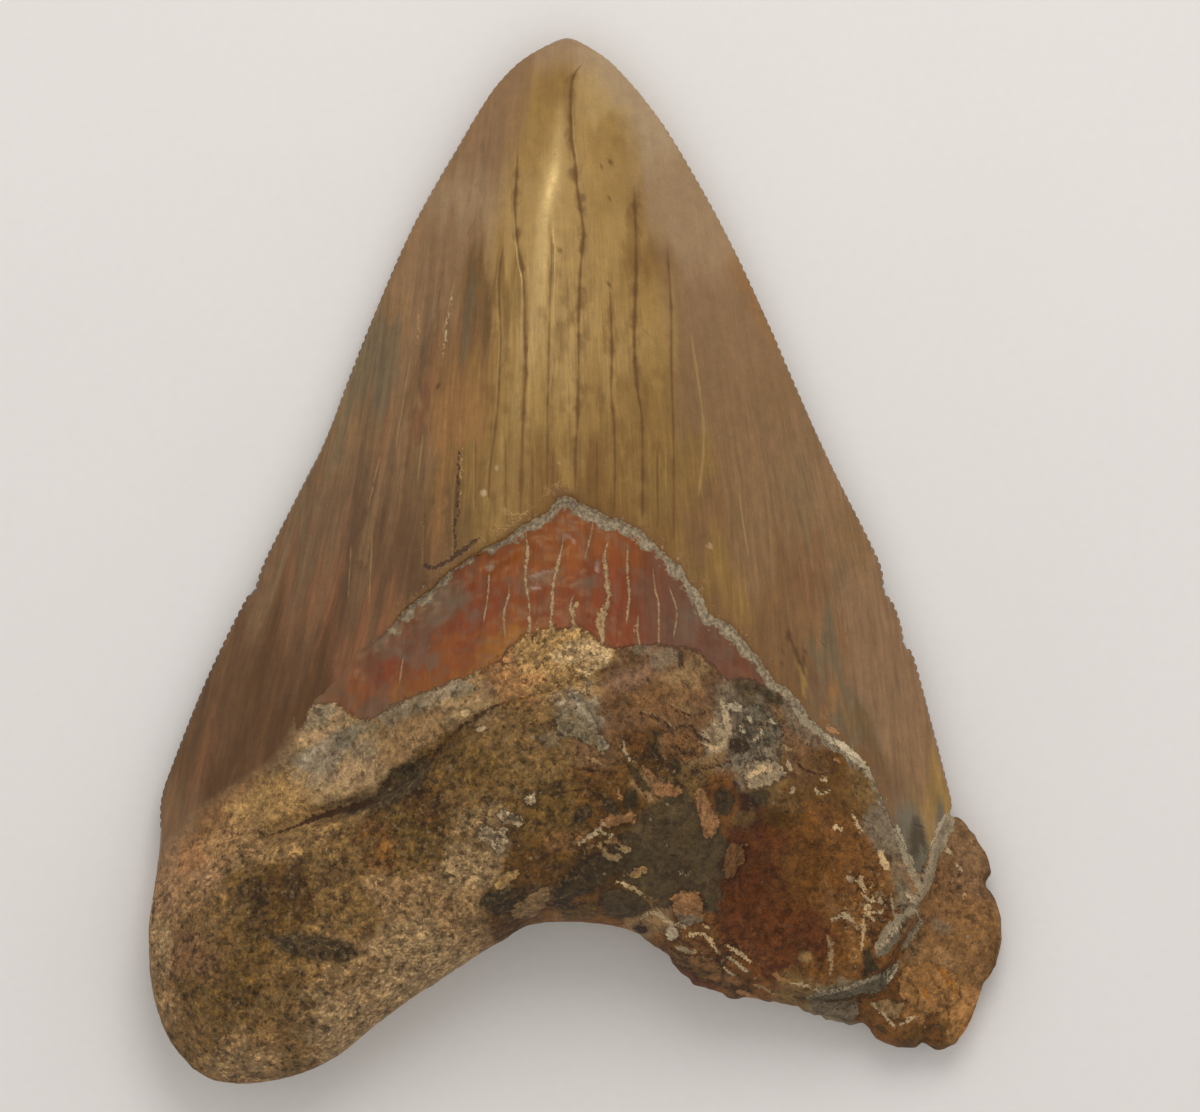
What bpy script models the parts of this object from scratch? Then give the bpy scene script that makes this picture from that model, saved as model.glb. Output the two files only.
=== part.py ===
"""Fossil megalodon tooth lying on its labial (outer) face, built as one closed solid.

+Y runs from the root to the tip, +X across the tooth and +Z up, out of the lingual (tongue-side)
face. The origin is the bottom centre of the tooth's box. Lengths are in millimetres until the mesh
is made, and metres from there on.

The solid is two sheets of facets, lingual and labial, that share one rim. Both are laid out on a fan
of rows (`along`, 0 at the tip to 1 at the root) and columns (`across`, 0 at the left edge to 1 at the
right edge), and each lifts off the rim's own height by a few named forms.
"""

import bpy
import numpy as np
from mathutils import Vector, noise

MM = 0.001

# Facets: rows and columns of each sheet, and how closely the rim is followed.
LINGUAL_ROWS, LINGUAL_COLUMNS = 84, 40
LABIAL_ROWS, LABIAL_COLUMNS = 40, 20
ROOT_RIM_STEP = 1.5
TIP_RIM_STEP = 0.6
CURVE_STEP = 0.1
END_CROWDING = 0.45     # 0 spaces the rows and columns evenly, 1 crowds them at the rim

# Serrations along both cutting edges.
SERRATION_PITCH = 0.85
SERRATION_DEPTH = 0.2
CROWN_END_LEFT_Y = -27.0
CROWN_END_RIGHT_Y = -24.3

# The rim as (x, y, height). Cutting edges are sharp and low, root edges are thick and higher.
TIP_RIM = [(-2.7, 51.6, 3.6), (-1.8, 52.0, 3.6), (-0.9, 52.2, 3.6), (0.0, 52.0, 3.6), (0.8, 51.6, 3.6)]
LEFT_RIM = [
    (-2.7, 51.6, 3.6), (-5.4, 50.0, 3.4), (-7.5, 48.0, 3.2), (-9.0, 46.0, 3.1), (-11.4, 42.0, 3.0),
    (-16.0, 34.0, 2.8), (-19.6, 26.0, 2.7), (-22.8, 18.0, 2.7), (-24.3, 14.0, 2.7), (-25.6, 10.9, 2.7),
    (-27.1, 8.0, 2.7), (-31.1, 0.0, 2.8), (-32.2, -3.0, 2.8), (-33.3, -4.4, 2.9), (-37.0, -12.0, 3.1),
    (-40.2, -20.0, 3.4), (-41.5, -24.0, 3.7), (-41.6, -28.0, 4.4), (-42.0, -32.0, 5.4),
    (-42.6, -36.0, 6.4), (-42.6, -39.5, 7.0), (-42.4, -42.0, 7.3), (-41.7, -45.2, 7.4),
    (-40.3, -48.3, 7.4), (-38.2, -50.8, 7.4),
]
RIGHT_RIM = [
    (0.8, 51.6, 3.6), (3.2, 50.0, 3.4), (5.2, 48.0, 3.2), (6.9, 46.0, 3.1), (9.7, 42.0, 3.0),
    (14.3, 34.0, 2.8), (18.2, 26.0, 2.7), (21.7, 18.0, 2.7), (25.3, 10.0, 2.7), (29.3, 2.0, 2.8),
    (30.6, -1.0, 2.8), (30.9, -3.2, 2.8), (31.8, -4.5, 2.8), (32.6, -6.8, 2.9), (32.9, -8.6, 2.9),
    (33.8, -9.8, 3.0), (35.5, -16.0, 3.1), (36.7, -20.6, 3.2), (37.6, -24.3, 3.3), (37.5, -25.6, 3.3),
    (38.7, -26.1, 3.3), (40.9, -29.3, 3.3), (41.5, -31.2, 3.2), (41.1, -32.6, 3.2), (42.2, -34.6, 3.1),
    (42.6, -37.5, 3.0), (42.1, -40.4, 3.0), (41.0, -42.0, 3.1), (39.8, -45.4, 3.2), (38.5, -47.3, 3.3),
]
BASE_RIM = [
    (-38.2, -50.8, 7.4), (-36.0, -52.0, 7.4), (-32.9, -52.3, 7.4), (-29.8, -51.9, 7.5),
    (-26.4, -50.9, 7.7), (-23.3, -49.2, 8.0), (-20.3, -46.7, 8.4), (-16.8, -44.1, 8.8),
    (-10.7, -40.0, 9.2), (-7.4, -38.0, 9.4), (-4.6, -36.4, 9.4), (-1.0, -36.1, 9.4), (3.4, -36.4, 9.2),
    (6.4, -37.5, 8.8), (8.6, -39.0, 8.2), (11.0, -41.5, 7.4), (14.4, -43.4, 6.6), (20.4, -44.4, 5.6),
    (24.2, -45.6, 4.8), (27.4, -46.5, 4.2), (28.8, -46.4, 4.0), (30.2, -48.2, 3.7), (33.7, -48.8, 3.5),
    (34.7, -48.4, 3.4), (36.2, -48.9, 3.4), (37.9, -48.5, 3.3), (38.5, -47.3, 3.3),
]

# Smooth run of the cutting edges, without their chips, down to where they would meet the root's base.
LEFT_FLANK = [(-0.9, 53.0), (-4.6, 51.0), (-9.2, 46.0), (-16.2, 34.0), (-23.0, 18.0), (-31.3, 0.0),
              (-37.2, -12.0), (-40.4, -20.0), (-42.6, -28.0), (-45.5, -42.0), (-47.0, -56.0)]
RIGHT_FLANK = [(-0.9, 53.0), (2.6, 51.0), (7.1, 46.0), (14.5, 34.0), (21.9, 18.0), (30.4, 0.0),
               (34.8, -12.0), (37.0, -20.0), (38.4, -26.0), (41.0, -42.0), (42.5, -56.0)]

# Lingual face of the crown: height of its middle ridge against y, and its cross-section.
CROWN_RIDGE = [(-60.0, 17.2), (-30.0, 17.2), (-10.0, 16.6), (0.0, 15.8), (10.0, 14.6), (20.0, 13.2),
               (30.0, 11.4), (40.0, 9.0), (46.0, 7.2), (50.0, 5.3), (52.5, 3.6)]
CROWN_HOLLOWNESS = 0.4      # 0 is a plain parabola, 1 runs out flat at the cutting edges

# Lingual face of the root: spot heights, and the radius of its rounded rim against x.
ROOT_SPOTS = [
    (-0.7, 3.0, 14.8), (-0.7, -4.0, 17.6), (-0.7, -9.0, 19.8), (-1.6, -15.0, 22.2), (-1.6, -21.0, 22.8),
    (-1.6, -27.0, 21.2), (-1.6, -33.0, 18.4), (-14.0, -4.0, 12.6), (-14.0, -11.0, 16.4),
    (-13.0, -20.0, 20.0), (-13.0, -29.0, 20.0), (-12.0, -36.5, 17.4), (-24.5, -12.5, 9.4),
    (-22.0, -18.0, 12.2), (-25.0, -27.0, 14.6), (-24.0, -35.0, 17.6), (-27.0, -42.0, 17.0),
    (-33.0, -22.7, 7.2), (-34.5, -29.0, 10.4), (-36.0, -36.0, 13.2), (-36.0, -44.0, 14.2),
    (-30.0, -48.5, 14.2), (-40.0, -29.0, 7.0), (-41.0, -37.0, 10.5), (-20.0, -43.0, 16.4),
    (10.3, -1.6, 13.6), (9.0, -10.0, 18.6), (8.0, -19.0, 21.0), (12.4, -14.0, 17.4),
    (18.7, -11.0, 10.8), (18.0, -17.0, 14.4), (12.5, -27.0, 18.0), (7.5, -34.0, 16.6),
    (19.5, -24.0, 14.0), (20.0, -33.0, 12.2), (15.0, -40.0, 11.8), (25.2, -17.5, 8.8),
    (26.0, -25.0, 11.4), (26.0, -34.0, 11.2), (24.0, -41.5, 9.8), (29.5, -21.6, 6.8),
    (32.5, -29.0, 9.4), (34.5, -27.0, 7.6), (33.0, -36.0, 9.4), (29.0, -40.5, 9.2),
    (38.5, -34.0, 7.6), (36.5, -43.0, 7.6),
]
ROOT_RIM_RADIUS = [(-45.0, 8.0), (-30.0, 7.5), (-12.0, 5.0), (6.0, 4.5), (20.0, 3.4), (30.0, 2.2),
                   (45.0, 1.8)]

# Where the enamel ends on the lingual face, left to right, and the raised band's limits along it.
NECK_LINE = [
    (-46.0, -34.0), (-41.8, -31.0), (-39.8, -28.6), (-37.3, -26.0), (-32.9, -22.7), (-29.4, -20.2),
    (-27.7, -17.4), (-26.4, -14.9), (-24.6, -12.8), (-21.1, -9.0), (-16.9, -5.1), (-13.9, -2.3),
    (-10.4, 0.4), (-7.6, 1.8), (-5.4, 3.2), (-3.2, 4.7), (-0.7, 6.4), (2.7, 4.3), (5.7, 2.9), (8.2, 0.7),
    (10.2, -0.9), (12.1, -2.9), (13.4, -5.5), (15.7, -6.9), (18.2, -10.1), (21.3, -13.2), (24.6, -16.8),
    (29.3, -20.9), (32.0, -23.6), (35.2, -25.2), (42.0, -25.4),
]
NECK_BLEND = (-0.6, 2.2)        # signed distance to the neck line over which crown turns to root
ENAMEL_STEP = [(-22.0, 0.0), (-17.0, 0.8), (-8.0, 0.8), (-3.0, 0.4), (20.0, 0.35), (27.0, 0.0)]
ENAMEL_STEP_RUN = (-0.2, 0.4)   # the drop from the enamel's end to the bourlette, against x, and its run
BOURLETTE_RUN = (2.0, 8.0)      # distances below the line over which the recess runs out

# Groove between the smooth neck and the coarse root, as (x, y, depth).
NECK_GROOVE = [(-32.0, -28.6, 0.4), (-30.0, -27.2, 1.5), (-26.4, -25.7, 1.8), (-21.6, -24.2, 1.8),
               (-17.4, -21.8, 1.6), (-13.6, -19.1, 1.2), (-9.6, -15.6, 1.0), (-3.3, -13.4, 0.9),
               (1.4, -11.4, 0.7), (5.3, -10.3, 0.4)]
GROOVE_HALF_WIDTH = 1.1

# Broken right-hand corner: a ledge whose outer side has come away, as (x, y, drop), a hollow and a
# slab of matrix.
CORNER_LEDGE = [(37.0, -23.0, 0.4), (36.9, -25.2, 1.0), (36.2, -27.4, 1.8), (35.6, -30.3, 2.2),
                (34.7, -32.7, 2.4), (33.8, -35.2, 2.4), (32.1, -38.5, 2.4), (30.3, -40.7, 2.2),
                (28.5, -42.4, 1.8), (25.1, -43.3, 1.2), (21.3, -42.4, 0.5), (19.0, -42.0, 0.0)]
LEDGE_WIDTH = 0.8
HOLLOW_CENTRE, HOLLOW_RADII, HOLLOW_DEPTH = (19.6, -31.2), (5.6, 6.4), 1.9
SLAB_CENTRE, SLAB_RADII, SLAB_RISE = (10.4, -29.6), (4.9, 6.2), 0.8

# Roughness: low lumps on the left of the root, scalloped chips on its broken right.
LUMP_SIZE, LUMP_HEIGHT = 3.0, 0.3
CHIP_SIZE, CHIP_TILT, CHIP_STEP, CHIP_BOWL = 4.4, 0.28, 0.6, 0.07
TILT_SEED = 1795463881                      # of the chips' tilts and levels
WARP_SIZE, WARP_REACH = 6.0, 1.6
BREAK_X = (4.0, 12.0)
BREAK_PAST_NECK = (4.5, 9.0)
FLANGE_CHIPS = 0.35             # share of the chips' height beyond the ledge

# Labial face: the middle of the crown is flat, so that the tooth lies on it. The root is set back a
# little behind the enamel's end, an arch from one cutting edge to the other.
LABIAL_FLAT_SHARE = 0.45
LABIAL_ROOT_RADIUS = [(-45.0, 6.5), (9.0, 6.5), (30.0, 2.4), (45.0, 2.0)]
LABIAL_TIP_LIFT = [(26.0, 0.0), (53.0, 1.9)]
LABIAL_NECK = [(-46.0, -31.0), (-38.0, -28.0), (-20.0, -22.0), (0.0, -19.0), (18.0, -21.0), (42.0, -26.0)]
LABIAL_NECK_BLEND = (-2.5, 2.5)
LABIAL_STEP, LABIAL_STEP_WIDTH = 0.35, 0.8

ENAMEL_COLOR = (0.30, 0.19, 0.09, 1.0)
BOURLETTE_COLOR = (0.36, 0.07, 0.02, 1.0)
ROOT_COLOR = (0.17, 0.11, 0.06, 1.0)


def smooth_curve(points):
    """Points CURVE_STEP apart on a Catmull-Rom curve through the given ones."""
    knots = np.array(points, dtype=float)
    padded = np.vstack([2 * knots[0] - knots[1], knots, 2 * knots[-1] - knots[-2]])
    stretches = []
    for before, start, end, after in zip(padded, padded[1:], padded[2:], padded[3:]):
        count = max(2, int(np.ceil(np.linalg.norm((end - start)[:2]) / CURVE_STEP)))
        f = np.linspace(0.0, 1.0, count, endpoint=False)[:, None]
        stretches.append(0.5 * (2 * start + (end - before) * f
                                + (2 * before - 5 * start + 4 * end - after) * f ** 2
                                + (3 * start - before - 3 * end + after) * f ** 3))
    return np.vstack(stretches + [knots[-1:]])


def run_of(curve):
    """Distance run along a curve at each of its points."""
    return np.concatenate([[0.0], np.cumsum(np.linalg.norm(np.diff(curve[:, :2], axis=0), axis=1))])


def point_on(curve, share):
    """Points of a curve at the given shares of its length."""
    run = run_of(curve)
    where = np.asarray(share, dtype=float) * run[-1]
    return np.stack([np.interp(where, run, curve[:, k]) for k in range(curve.shape[1])], axis=-1)


def smoothstep(low, high, value):
    share = np.clip((value - low) / (high - low), 0.0, 1.0)
    return share * share * (3 - 2 * share)


def from_table(table, value):
    """Straight-line interpolation in a short table of pairs in rising order."""
    keys, results = zip(*table)
    return np.interp(value, keys, results)


def nearest_on(curve, x, y):
    """Distance from each place to a curve, and the index of the curve's nearest point."""
    gap = (x[:, None] - curve[None, :, 0]) ** 2 + (y[:, None] - curve[None, :, 1]) ** 2
    nearest = gap.argmin(axis=1)
    return np.sqrt(gap[np.arange(len(x)), nearest]), nearest


def side_of(curve, x, y):
    """Signed distance to a curve: positive on its right-hand side, going from first to last point."""
    distance, nearest = nearest_on(curve, x, y)
    nearest = np.clip(nearest, 1, len(curve) - 2)
    heading = curve[nearest + 1, :2] - curve[nearest - 1, :2]
    offset_x, offset_y = x - curve[nearest, 0], y - curve[nearest, 1]
    return distance * np.sign(heading[:, 1] * offset_x - heading[:, 0] * offset_y)


def thin_plate(spots):
    """A smooth function of x and y that passes through the given (x, y, height) spots."""
    spots = np.array(spots, dtype=float)
    places, count = spots[:, :2], len(spots)

    def bend(x, y):
        gap = (x[:, None] - places[None, :, 0]) ** 2 + (y[:, None] - places[None, :, 1]) ** 2
        return 0.5 * gap * np.log(np.maximum(gap, 1e-9))

    plane = np.column_stack([np.ones(count), places])
    system = np.zeros((count + 3, count + 3))
    system[:count, :count] = bend(places[:, 0], places[:, 1])
    system[:count, count:] = plane
    system[count:, :count] = plane.T
    weights = np.linalg.solve(system, np.concatenate([spots[:, 2], np.zeros(3)]))

    def height(x, y):
        flat = np.column_stack([np.ones(len(x)), x, y])
        return bend(x, y) @ weights[:count] + flat @ weights[count:]

    return height


def lumps(x, y, size, seed):
    """Fractal noise from about -1 to 1, with lumps of the given size."""
    return np.array([noise.fractal(Vector((a / size, b / size, seed)), 0.9, 2.1, 3) for a, b in zip(x, y)])


def chips(x, y):
    """Height of a surface broken in shallow scallops, each at a tilt and a level of its own."""
    noise.seed_set(TILT_SEED)
    heights = []
    for a, b in zip(x / CHIP_SIZE, y / CHIP_SIZE):
        place = Vector((a, b, 8.0))
        levels = []
        for centre in noise.voronoi(place)[1]:
            tilt = noise.noise_vector(centre * 7.3)
            offset = (place - centre) * CHIP_SIZE
            levels.append(CHIP_TILT * (tilt.x * offset.x + tilt.y * offset.y) + CHIP_STEP * tilt.z
                          + CHIP_BOWL * offset.length_squared)
        heights.append(min(levels))
    return np.array(heights)


LEFT, RIGHT, TIP, BASE = (smooth_curve(points) for points in (LEFT_RIM, RIGHT_RIM, TIP_RIM, BASE_RIM))
NECK, GROOVE, LEDGE = (smooth_curve(points) for points in (NECK_LINE, NECK_GROOVE, CORNER_LEDGE))
RIDGE = smooth_curve(CROWN_RIDGE)
RIM_HEIGHT = thin_plate(LEFT_RIM + BASE_RIM[1:] + RIGHT_RIM[-2::-1] + TIP_RIM[-2:0:-1])
ROOT_BODY = thin_plate(ROOT_SPOTS)
LEFT_SIDE, RIGHT_SIDE = smooth_curve(LEFT_FLANK), smooth_curve(RIGHT_FLANK)
LABIAL_LINE = smooth_curve(LABIAL_NECK)
OUTLINE = np.vstack([LEFT[::5], BASE[::5], RIGHT[::-5], TIP[::-5]])
ROOT_OUTLINE = OUTLINE[OUTLINE[:, 1] < CROWN_END_RIGHT_Y]


def fan_point(across, along):
    """Place of a fan point: the four rim curves blended across the inside."""
    s, t = across[:, None], along[:, None]
    sides = (1 - s) * point_on(LEFT, along) + s * point_on(RIGHT, along)
    ends = (1 - t) * point_on(TIP, across) + t * point_on(BASE, across)
    corners = ((1 - s) * (1 - t) * TIP[0] + s * (1 - t) * TIP[-1]
               + (1 - s) * t * BASE[0] + s * t * BASE[-1])
    return (sides + ends - corners)[:, :2].T


def lateral(x, y):
    """Place across the crown: -1 at the left cutting edge, 0 in the middle, 1 at the right one."""
    left = np.interp(-y, -LEFT_SIDE[:, 1], LEFT_SIDE[:, 0])
    right = np.interp(-y, -RIGHT_SIDE[:, 1], RIGHT_SIDE[:, 0])
    return np.clip((2 * x - left - right) / np.maximum(right - left, 0.5), -1.0, 1.0)


def crown_height(x, y, rim):
    """Lingual face of the crown: a ridge that falls away to both cutting edges."""
    u = lateral(x, y)
    section = (1 - CROWN_HOLLOWNESS) * (1 - u ** 2) + CROWN_HOLLOWNESS * 0.5 * (1 + np.cos(np.pi * u))
    ridge = np.interp(y, RIDGE[:, 0], RIDGE[:, 1])
    return rim + np.maximum(ridge - rim, 0.2) * section


def rounded(distance, radius):
    """Quarter-round section: 0 at the rim, 1 from one radius inwards."""
    share = np.clip(distance / radius, 0.0, 1.0)
    return np.sqrt(1 - (1 - share) ** 2)


def root_height(x, y, rim, past_neck):
    """Lingual face of the root, with its lumps, broken corner, hollow and slab."""
    past_ledge = smoothstep(0.0, LEDGE_WIDTH, -side_of(LEDGE, x, y))
    broken = smoothstep(*BREAK_X, x) * smoothstep(*BREAK_PAST_NECK, past_neck)
    warped_x = x + WARP_REACH * lumps(x, y, WARP_SIZE, 5.0)
    warped_y = y + WARP_REACH * lumps(x, y, WARP_SIZE, 6.0)
    body = ROOT_BODY(x, y)
    body += (1 - broken) * LUMP_HEIGHT * lumps(x, y, LUMP_SIZE, 3.0)
    body += broken * (1 - (1 - FLANGE_CHIPS) * past_ledge) * chips(warped_x, warped_y)
    body -= LEDGE[nearest_on(LEDGE, x, y)[1], 2] * past_ledge
    for centre, radii, lift in ((HOLLOW_CENTRE, HOLLOW_RADII, -HOLLOW_DEPTH),
                                (SLAB_CENTRE, SLAB_RADII, SLAB_RISE)):
        reach = np.hypot((warped_x - centre[0]) / radii[0], (warped_y - centre[1]) / radii[1])
        body += lift * (1 - smoothstep(0.65, 1.2, reach))
    section = rounded(nearest_on(ROOT_OUTLINE, x, y)[0], from_table(ROOT_RIM_RADIUS, x))
    return rim + np.maximum(body - rim, 0.4) * section


def lingual_points(across, along):
    """Points of the lingual sheet: crown, bourlette, groove and root."""
    x, y = fan_point(across, along)
    rim = RIM_HEIGHT(x, y)
    past_neck = side_of(NECK, x, y)
    root_share = smoothstep(*NECK_BLEND, past_neck)
    z = (1 - root_share) * crown_height(x, y, rim) + root_share * root_height(x, y, rim, past_neck)
    recess = smoothstep(*ENAMEL_STEP_RUN, past_neck) * (1 - smoothstep(*BOURLETTE_RUN, past_neck))
    z -= from_table(ENAMEL_STEP, x) * recess
    to_groove, nearest = nearest_on(GROOVE, x, y)
    z -= GROOVE[nearest, 2] * np.exp(-(to_groove / GROOVE_HALF_WIDTH) ** 2)
    return np.column_stack([x, y, z])


def labial_points(across, along):
    """Points of the labial sheet: flat in the middle and rounded up to the rim."""
    x, y = fan_point(across, along)
    rim = RIM_HEIGHT(x, y)
    u = np.abs(lateral(x, y))
    crown_section = 1 - (np.clip(u - LABIAL_FLAT_SHARE, 0, 1) / (1 - LABIAL_FLAT_SHARE)) ** 2.5
    root_section = rounded(nearest_on(ROOT_OUTLINE, x, y)[0], from_table(LABIAL_ROOT_RADIUS, x))
    past_neck = side_of(LABIAL_LINE, x, y)
    root_share = smoothstep(*LABIAL_NECK_BLEND, past_neck)
    section = (1 - root_share) * crown_section + root_share * root_section
    lift = from_table(LABIAL_TIP_LIFT, y) + LABIAL_STEP * smoothstep(0.0, LABIAL_STEP_WIDTH, past_neck)
    return np.column_stack([x, y, rim - (rim - lift) * section])


def crowded(count):
    """Shares from 0 to 1, closer together towards both ends."""
    even = np.linspace(0.0, 1.0, count + 1)
    return (1 - END_CROWDING) * even + END_CROWDING * 0.5 * (1 - np.cos(np.pi * even))


def serrated(curve, crown_end_y, outward):
    """Rim points of one side: crests and notches along the crown, then plain steps along the root."""
    run = run_of(curve)
    crown_length = np.interp(-crown_end_y, -curve[:, 1], run)
    halves = 2 * int(round(crown_length / SERRATION_PITCH))
    crown = np.linspace(0.0, crown_length, halves + 1)
    root = np.linspace(crown_length, run[-1], int((run[-1] - crown_length) / ROOT_RIM_STEP) + 1)
    share = np.concatenate([crown, root[1:]]) / run[-1]
    points = point_on(curve, share)
    heading = np.gradient(points[:, :2], axis=0)
    normal = outward * np.column_stack([heading[:, 1], -heading[:, 0]])
    normal /= np.linalg.norm(normal, axis=1)[:, None]
    crest = np.zeros(len(points))
    crest[1:halves:2] = 0.5 * SERRATION_DEPTH
    crest[2:halves:2] = -0.5 * SERRATION_DEPTH
    points[:, :2] += crest[:, None] * normal
    return points, share


def plain(curve, step):
    share = np.linspace(0.0, 1.0, int(run_of(curve)[-1] / step) + 1)
    return point_on(curve, share), share


def zip_strip(outer, outer_share, inner, inner_share, flip):
    """Triangles between two rows of vertices that run side by side, ordered by their shares."""
    faces, i, j = [], 0, 0
    while i < len(outer) - 1 or j < len(inner) - 1:
        outer_next = outer_share[i + 1] if i < len(outer) - 1 else np.inf
        inner_next = inner_share[j + 1] if j < len(inner) - 1 else np.inf
        if outer_next <= inner_next:
            faces.append((outer[i], outer[i + 1], inner[j]))
            i += 1
        else:
            faces.append((outer[i], inner[j + 1], inner[j]))
            j += 1
    return [face[::-1] for face in faces] if flip else faces


def sheet(points_at, rows, columns, rim, start, flip):
    """Points and faces of one sheet inside the shared rim, numbered from `start`."""
    across, along = crowded(columns)[1:-1], crowded(rows)[1:-1]
    t, s = (field.ravel() for field in np.meshgrid(along, across, indexing="ij"))
    points = points_at(s, t)
    index = start + np.arange(len(s)).reshape(len(along), len(across))
    faces = []
    for upper, lower in zip(index, index[1:]):
        for a, b, c, d in zip(upper, lower, lower[1:], upper[1:]):
            faces += [(a, b, d), (b, c, d)] if not flip else [(d, b, a), (d, c, b)]
    faces += zip_strip(*rim["left"], index[:, 0], along, flip)
    faces += zip_strip(*rim["base"], index[-1], across, flip)
    faces += zip_strip(*rim["right"], index[:, -1], along, not flip)
    faces += zip_strip(*rim["tip"], index[0], across, not flip)
    return points, faces


def shared_rim():
    """The closed rim's points, and for each side the numbers and shares of its points."""
    left, left_share = serrated(LEFT, CROWN_END_LEFT_Y, 1)
    right, right_share = serrated(RIGHT, CROWN_END_RIGHT_Y, -1)
    base, base_share = plain(BASE, ROOT_RIM_STEP)
    tip, tip_share = plain(TIP, TIP_RIM_STEP)
    points = np.vstack([left, base[1:], right[-2::-1], tip[-2:0:-1]])
    points[:, 2] = RIM_HEIGHT(points[:, 0], points[:, 1])
    numbers = np.arange(len(points))
    corner_base = len(left) - 1
    corner_right = corner_base + len(base) - 1
    corner_tip = corner_right + len(right) - 1
    around_tip = np.append(numbers[corner_tip:], 0)
    sides = {"left": (numbers[:corner_base + 1], left_share),
             "base": (numbers[corner_base:corner_right + 1], base_share),
             "right": (numbers[corner_right:corner_tip + 1][::-1], right_share),
             "tip": (around_tip[::-1], tip_share)}
    return points, sides


def finish_material(name, color, roughness):
    material = bpy.data.materials.new(name)
    material.use_nodes = True
    principled = material.node_tree.nodes["Principled BSDF"]
    principled.inputs["Base Color"].default_value = color
    principled.inputs["Roughness"].default_value = roughness
    principled.inputs["Metallic"].default_value = 0.0
    material.diffuse_color = color
    return material


def make_tooth():
    rim_points, rim = shared_rim()
    lingual, lingual_faces = sheet(lingual_points, LINGUAL_ROWS, LINGUAL_COLUMNS,
                                   rim, len(rim_points), False)
    labial, labial_faces = sheet(labial_points, LABIAL_ROWS, LABIAL_COLUMNS,
                                 rim, len(rim_points) + len(lingual), True)
    points = np.vstack([rim_points, lingual, labial])
    low, high = points.min(axis=0), points.max(axis=0)
    points -= np.array([(low[0] + high[0]) / 2, (low[1] + high[1]) / 2, low[2]])
    mesh = bpy.data.meshes.new("tooth")
    faces = [tuple(map(int, face)) for face in lingual_faces + labial_faces]
    mesh.from_pydata((points * MM).tolist(), [], faces)
    tooth = bpy.data.objects.new("tooth", mesh)
    bpy.context.scene.collection.objects.link(tooth)
    for material in (finish_material("enamel", ENAMEL_COLOR, 0.35),
                     finish_material("bourlette", BOURLETTE_COLOR, 0.5),
                     finish_material("root", ROOT_COLOR, 0.8)):
        mesh.materials.append(material)
    color_faces(mesh)
    return tooth


def color_faces(mesh):
    """Enamel above the neck line, bourlette in the V below it, root elsewhere."""
    centre = np.array([tuple(face.center) for face in mesh.polygons]) / MM
    past_neck = side_of(NECK, centre[:, 0], centre[:, 1])
    for face, past, (x, y, z) in zip(mesh.polygons, past_neck, centre):
        if face.normal.z < 0:
            face.material_index = 2 if y < from_table(LABIAL_NECK, x) else 0
        elif past < 0:
            face.material_index = 0
        else:
            face.material_index = 1 if y > -12.0 and past < 8.0 else 2


for old in list(bpy.data.objects):
    bpy.data.objects.remove(old)
make_tooth()
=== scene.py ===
"""Looks of the fossil megalodon tooth: its fine surface, colours, stage, lights and camera.

The tooth lies on its labial face with its tip along +Y. One finely faceted skin stands for the CAD
solid: it has the same outline and forms, and adds the cracks, the broken edge of the enamel, the
sandy grain of the root and the torn right-hand corner. Lengths are in millimetres until the mesh is
made. Colours are written as sRGB values from 0 to 255 and turned into linear ones.
"""

import bpy
import numpy as np
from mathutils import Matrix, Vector, noise


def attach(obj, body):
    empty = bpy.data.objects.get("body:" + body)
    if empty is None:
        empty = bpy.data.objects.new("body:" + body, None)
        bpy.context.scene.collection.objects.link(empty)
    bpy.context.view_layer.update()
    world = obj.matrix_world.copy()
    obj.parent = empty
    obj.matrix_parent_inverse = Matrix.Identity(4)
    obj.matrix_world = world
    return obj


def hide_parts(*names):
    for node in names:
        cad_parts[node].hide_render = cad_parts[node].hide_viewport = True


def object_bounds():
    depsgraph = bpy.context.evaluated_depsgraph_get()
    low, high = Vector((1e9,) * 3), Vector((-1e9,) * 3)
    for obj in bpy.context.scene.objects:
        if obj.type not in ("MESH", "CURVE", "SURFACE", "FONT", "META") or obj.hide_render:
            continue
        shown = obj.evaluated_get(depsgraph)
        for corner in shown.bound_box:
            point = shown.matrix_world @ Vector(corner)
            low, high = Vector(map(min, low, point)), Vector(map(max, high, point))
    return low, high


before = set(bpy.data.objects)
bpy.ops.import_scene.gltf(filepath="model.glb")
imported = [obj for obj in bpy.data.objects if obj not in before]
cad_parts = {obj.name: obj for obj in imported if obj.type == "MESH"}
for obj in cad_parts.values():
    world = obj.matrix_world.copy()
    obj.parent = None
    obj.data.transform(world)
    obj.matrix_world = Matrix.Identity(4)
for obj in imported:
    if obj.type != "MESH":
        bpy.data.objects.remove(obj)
cad_low, cad_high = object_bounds()

MM = 0.001

# ---------------------------------------------------------------------------------------------
# Form: the same values as the CAD source has
# ---------------------------------------------------------------------------------------------

CURVE_STEP = 0.1
SERRATION_PITCH = 0.85
SERRATION_DEPTH = 0.17
CROWN_END_LEFT_Y = -27.0
CROWN_END_RIGHT_Y = -24.3

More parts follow.
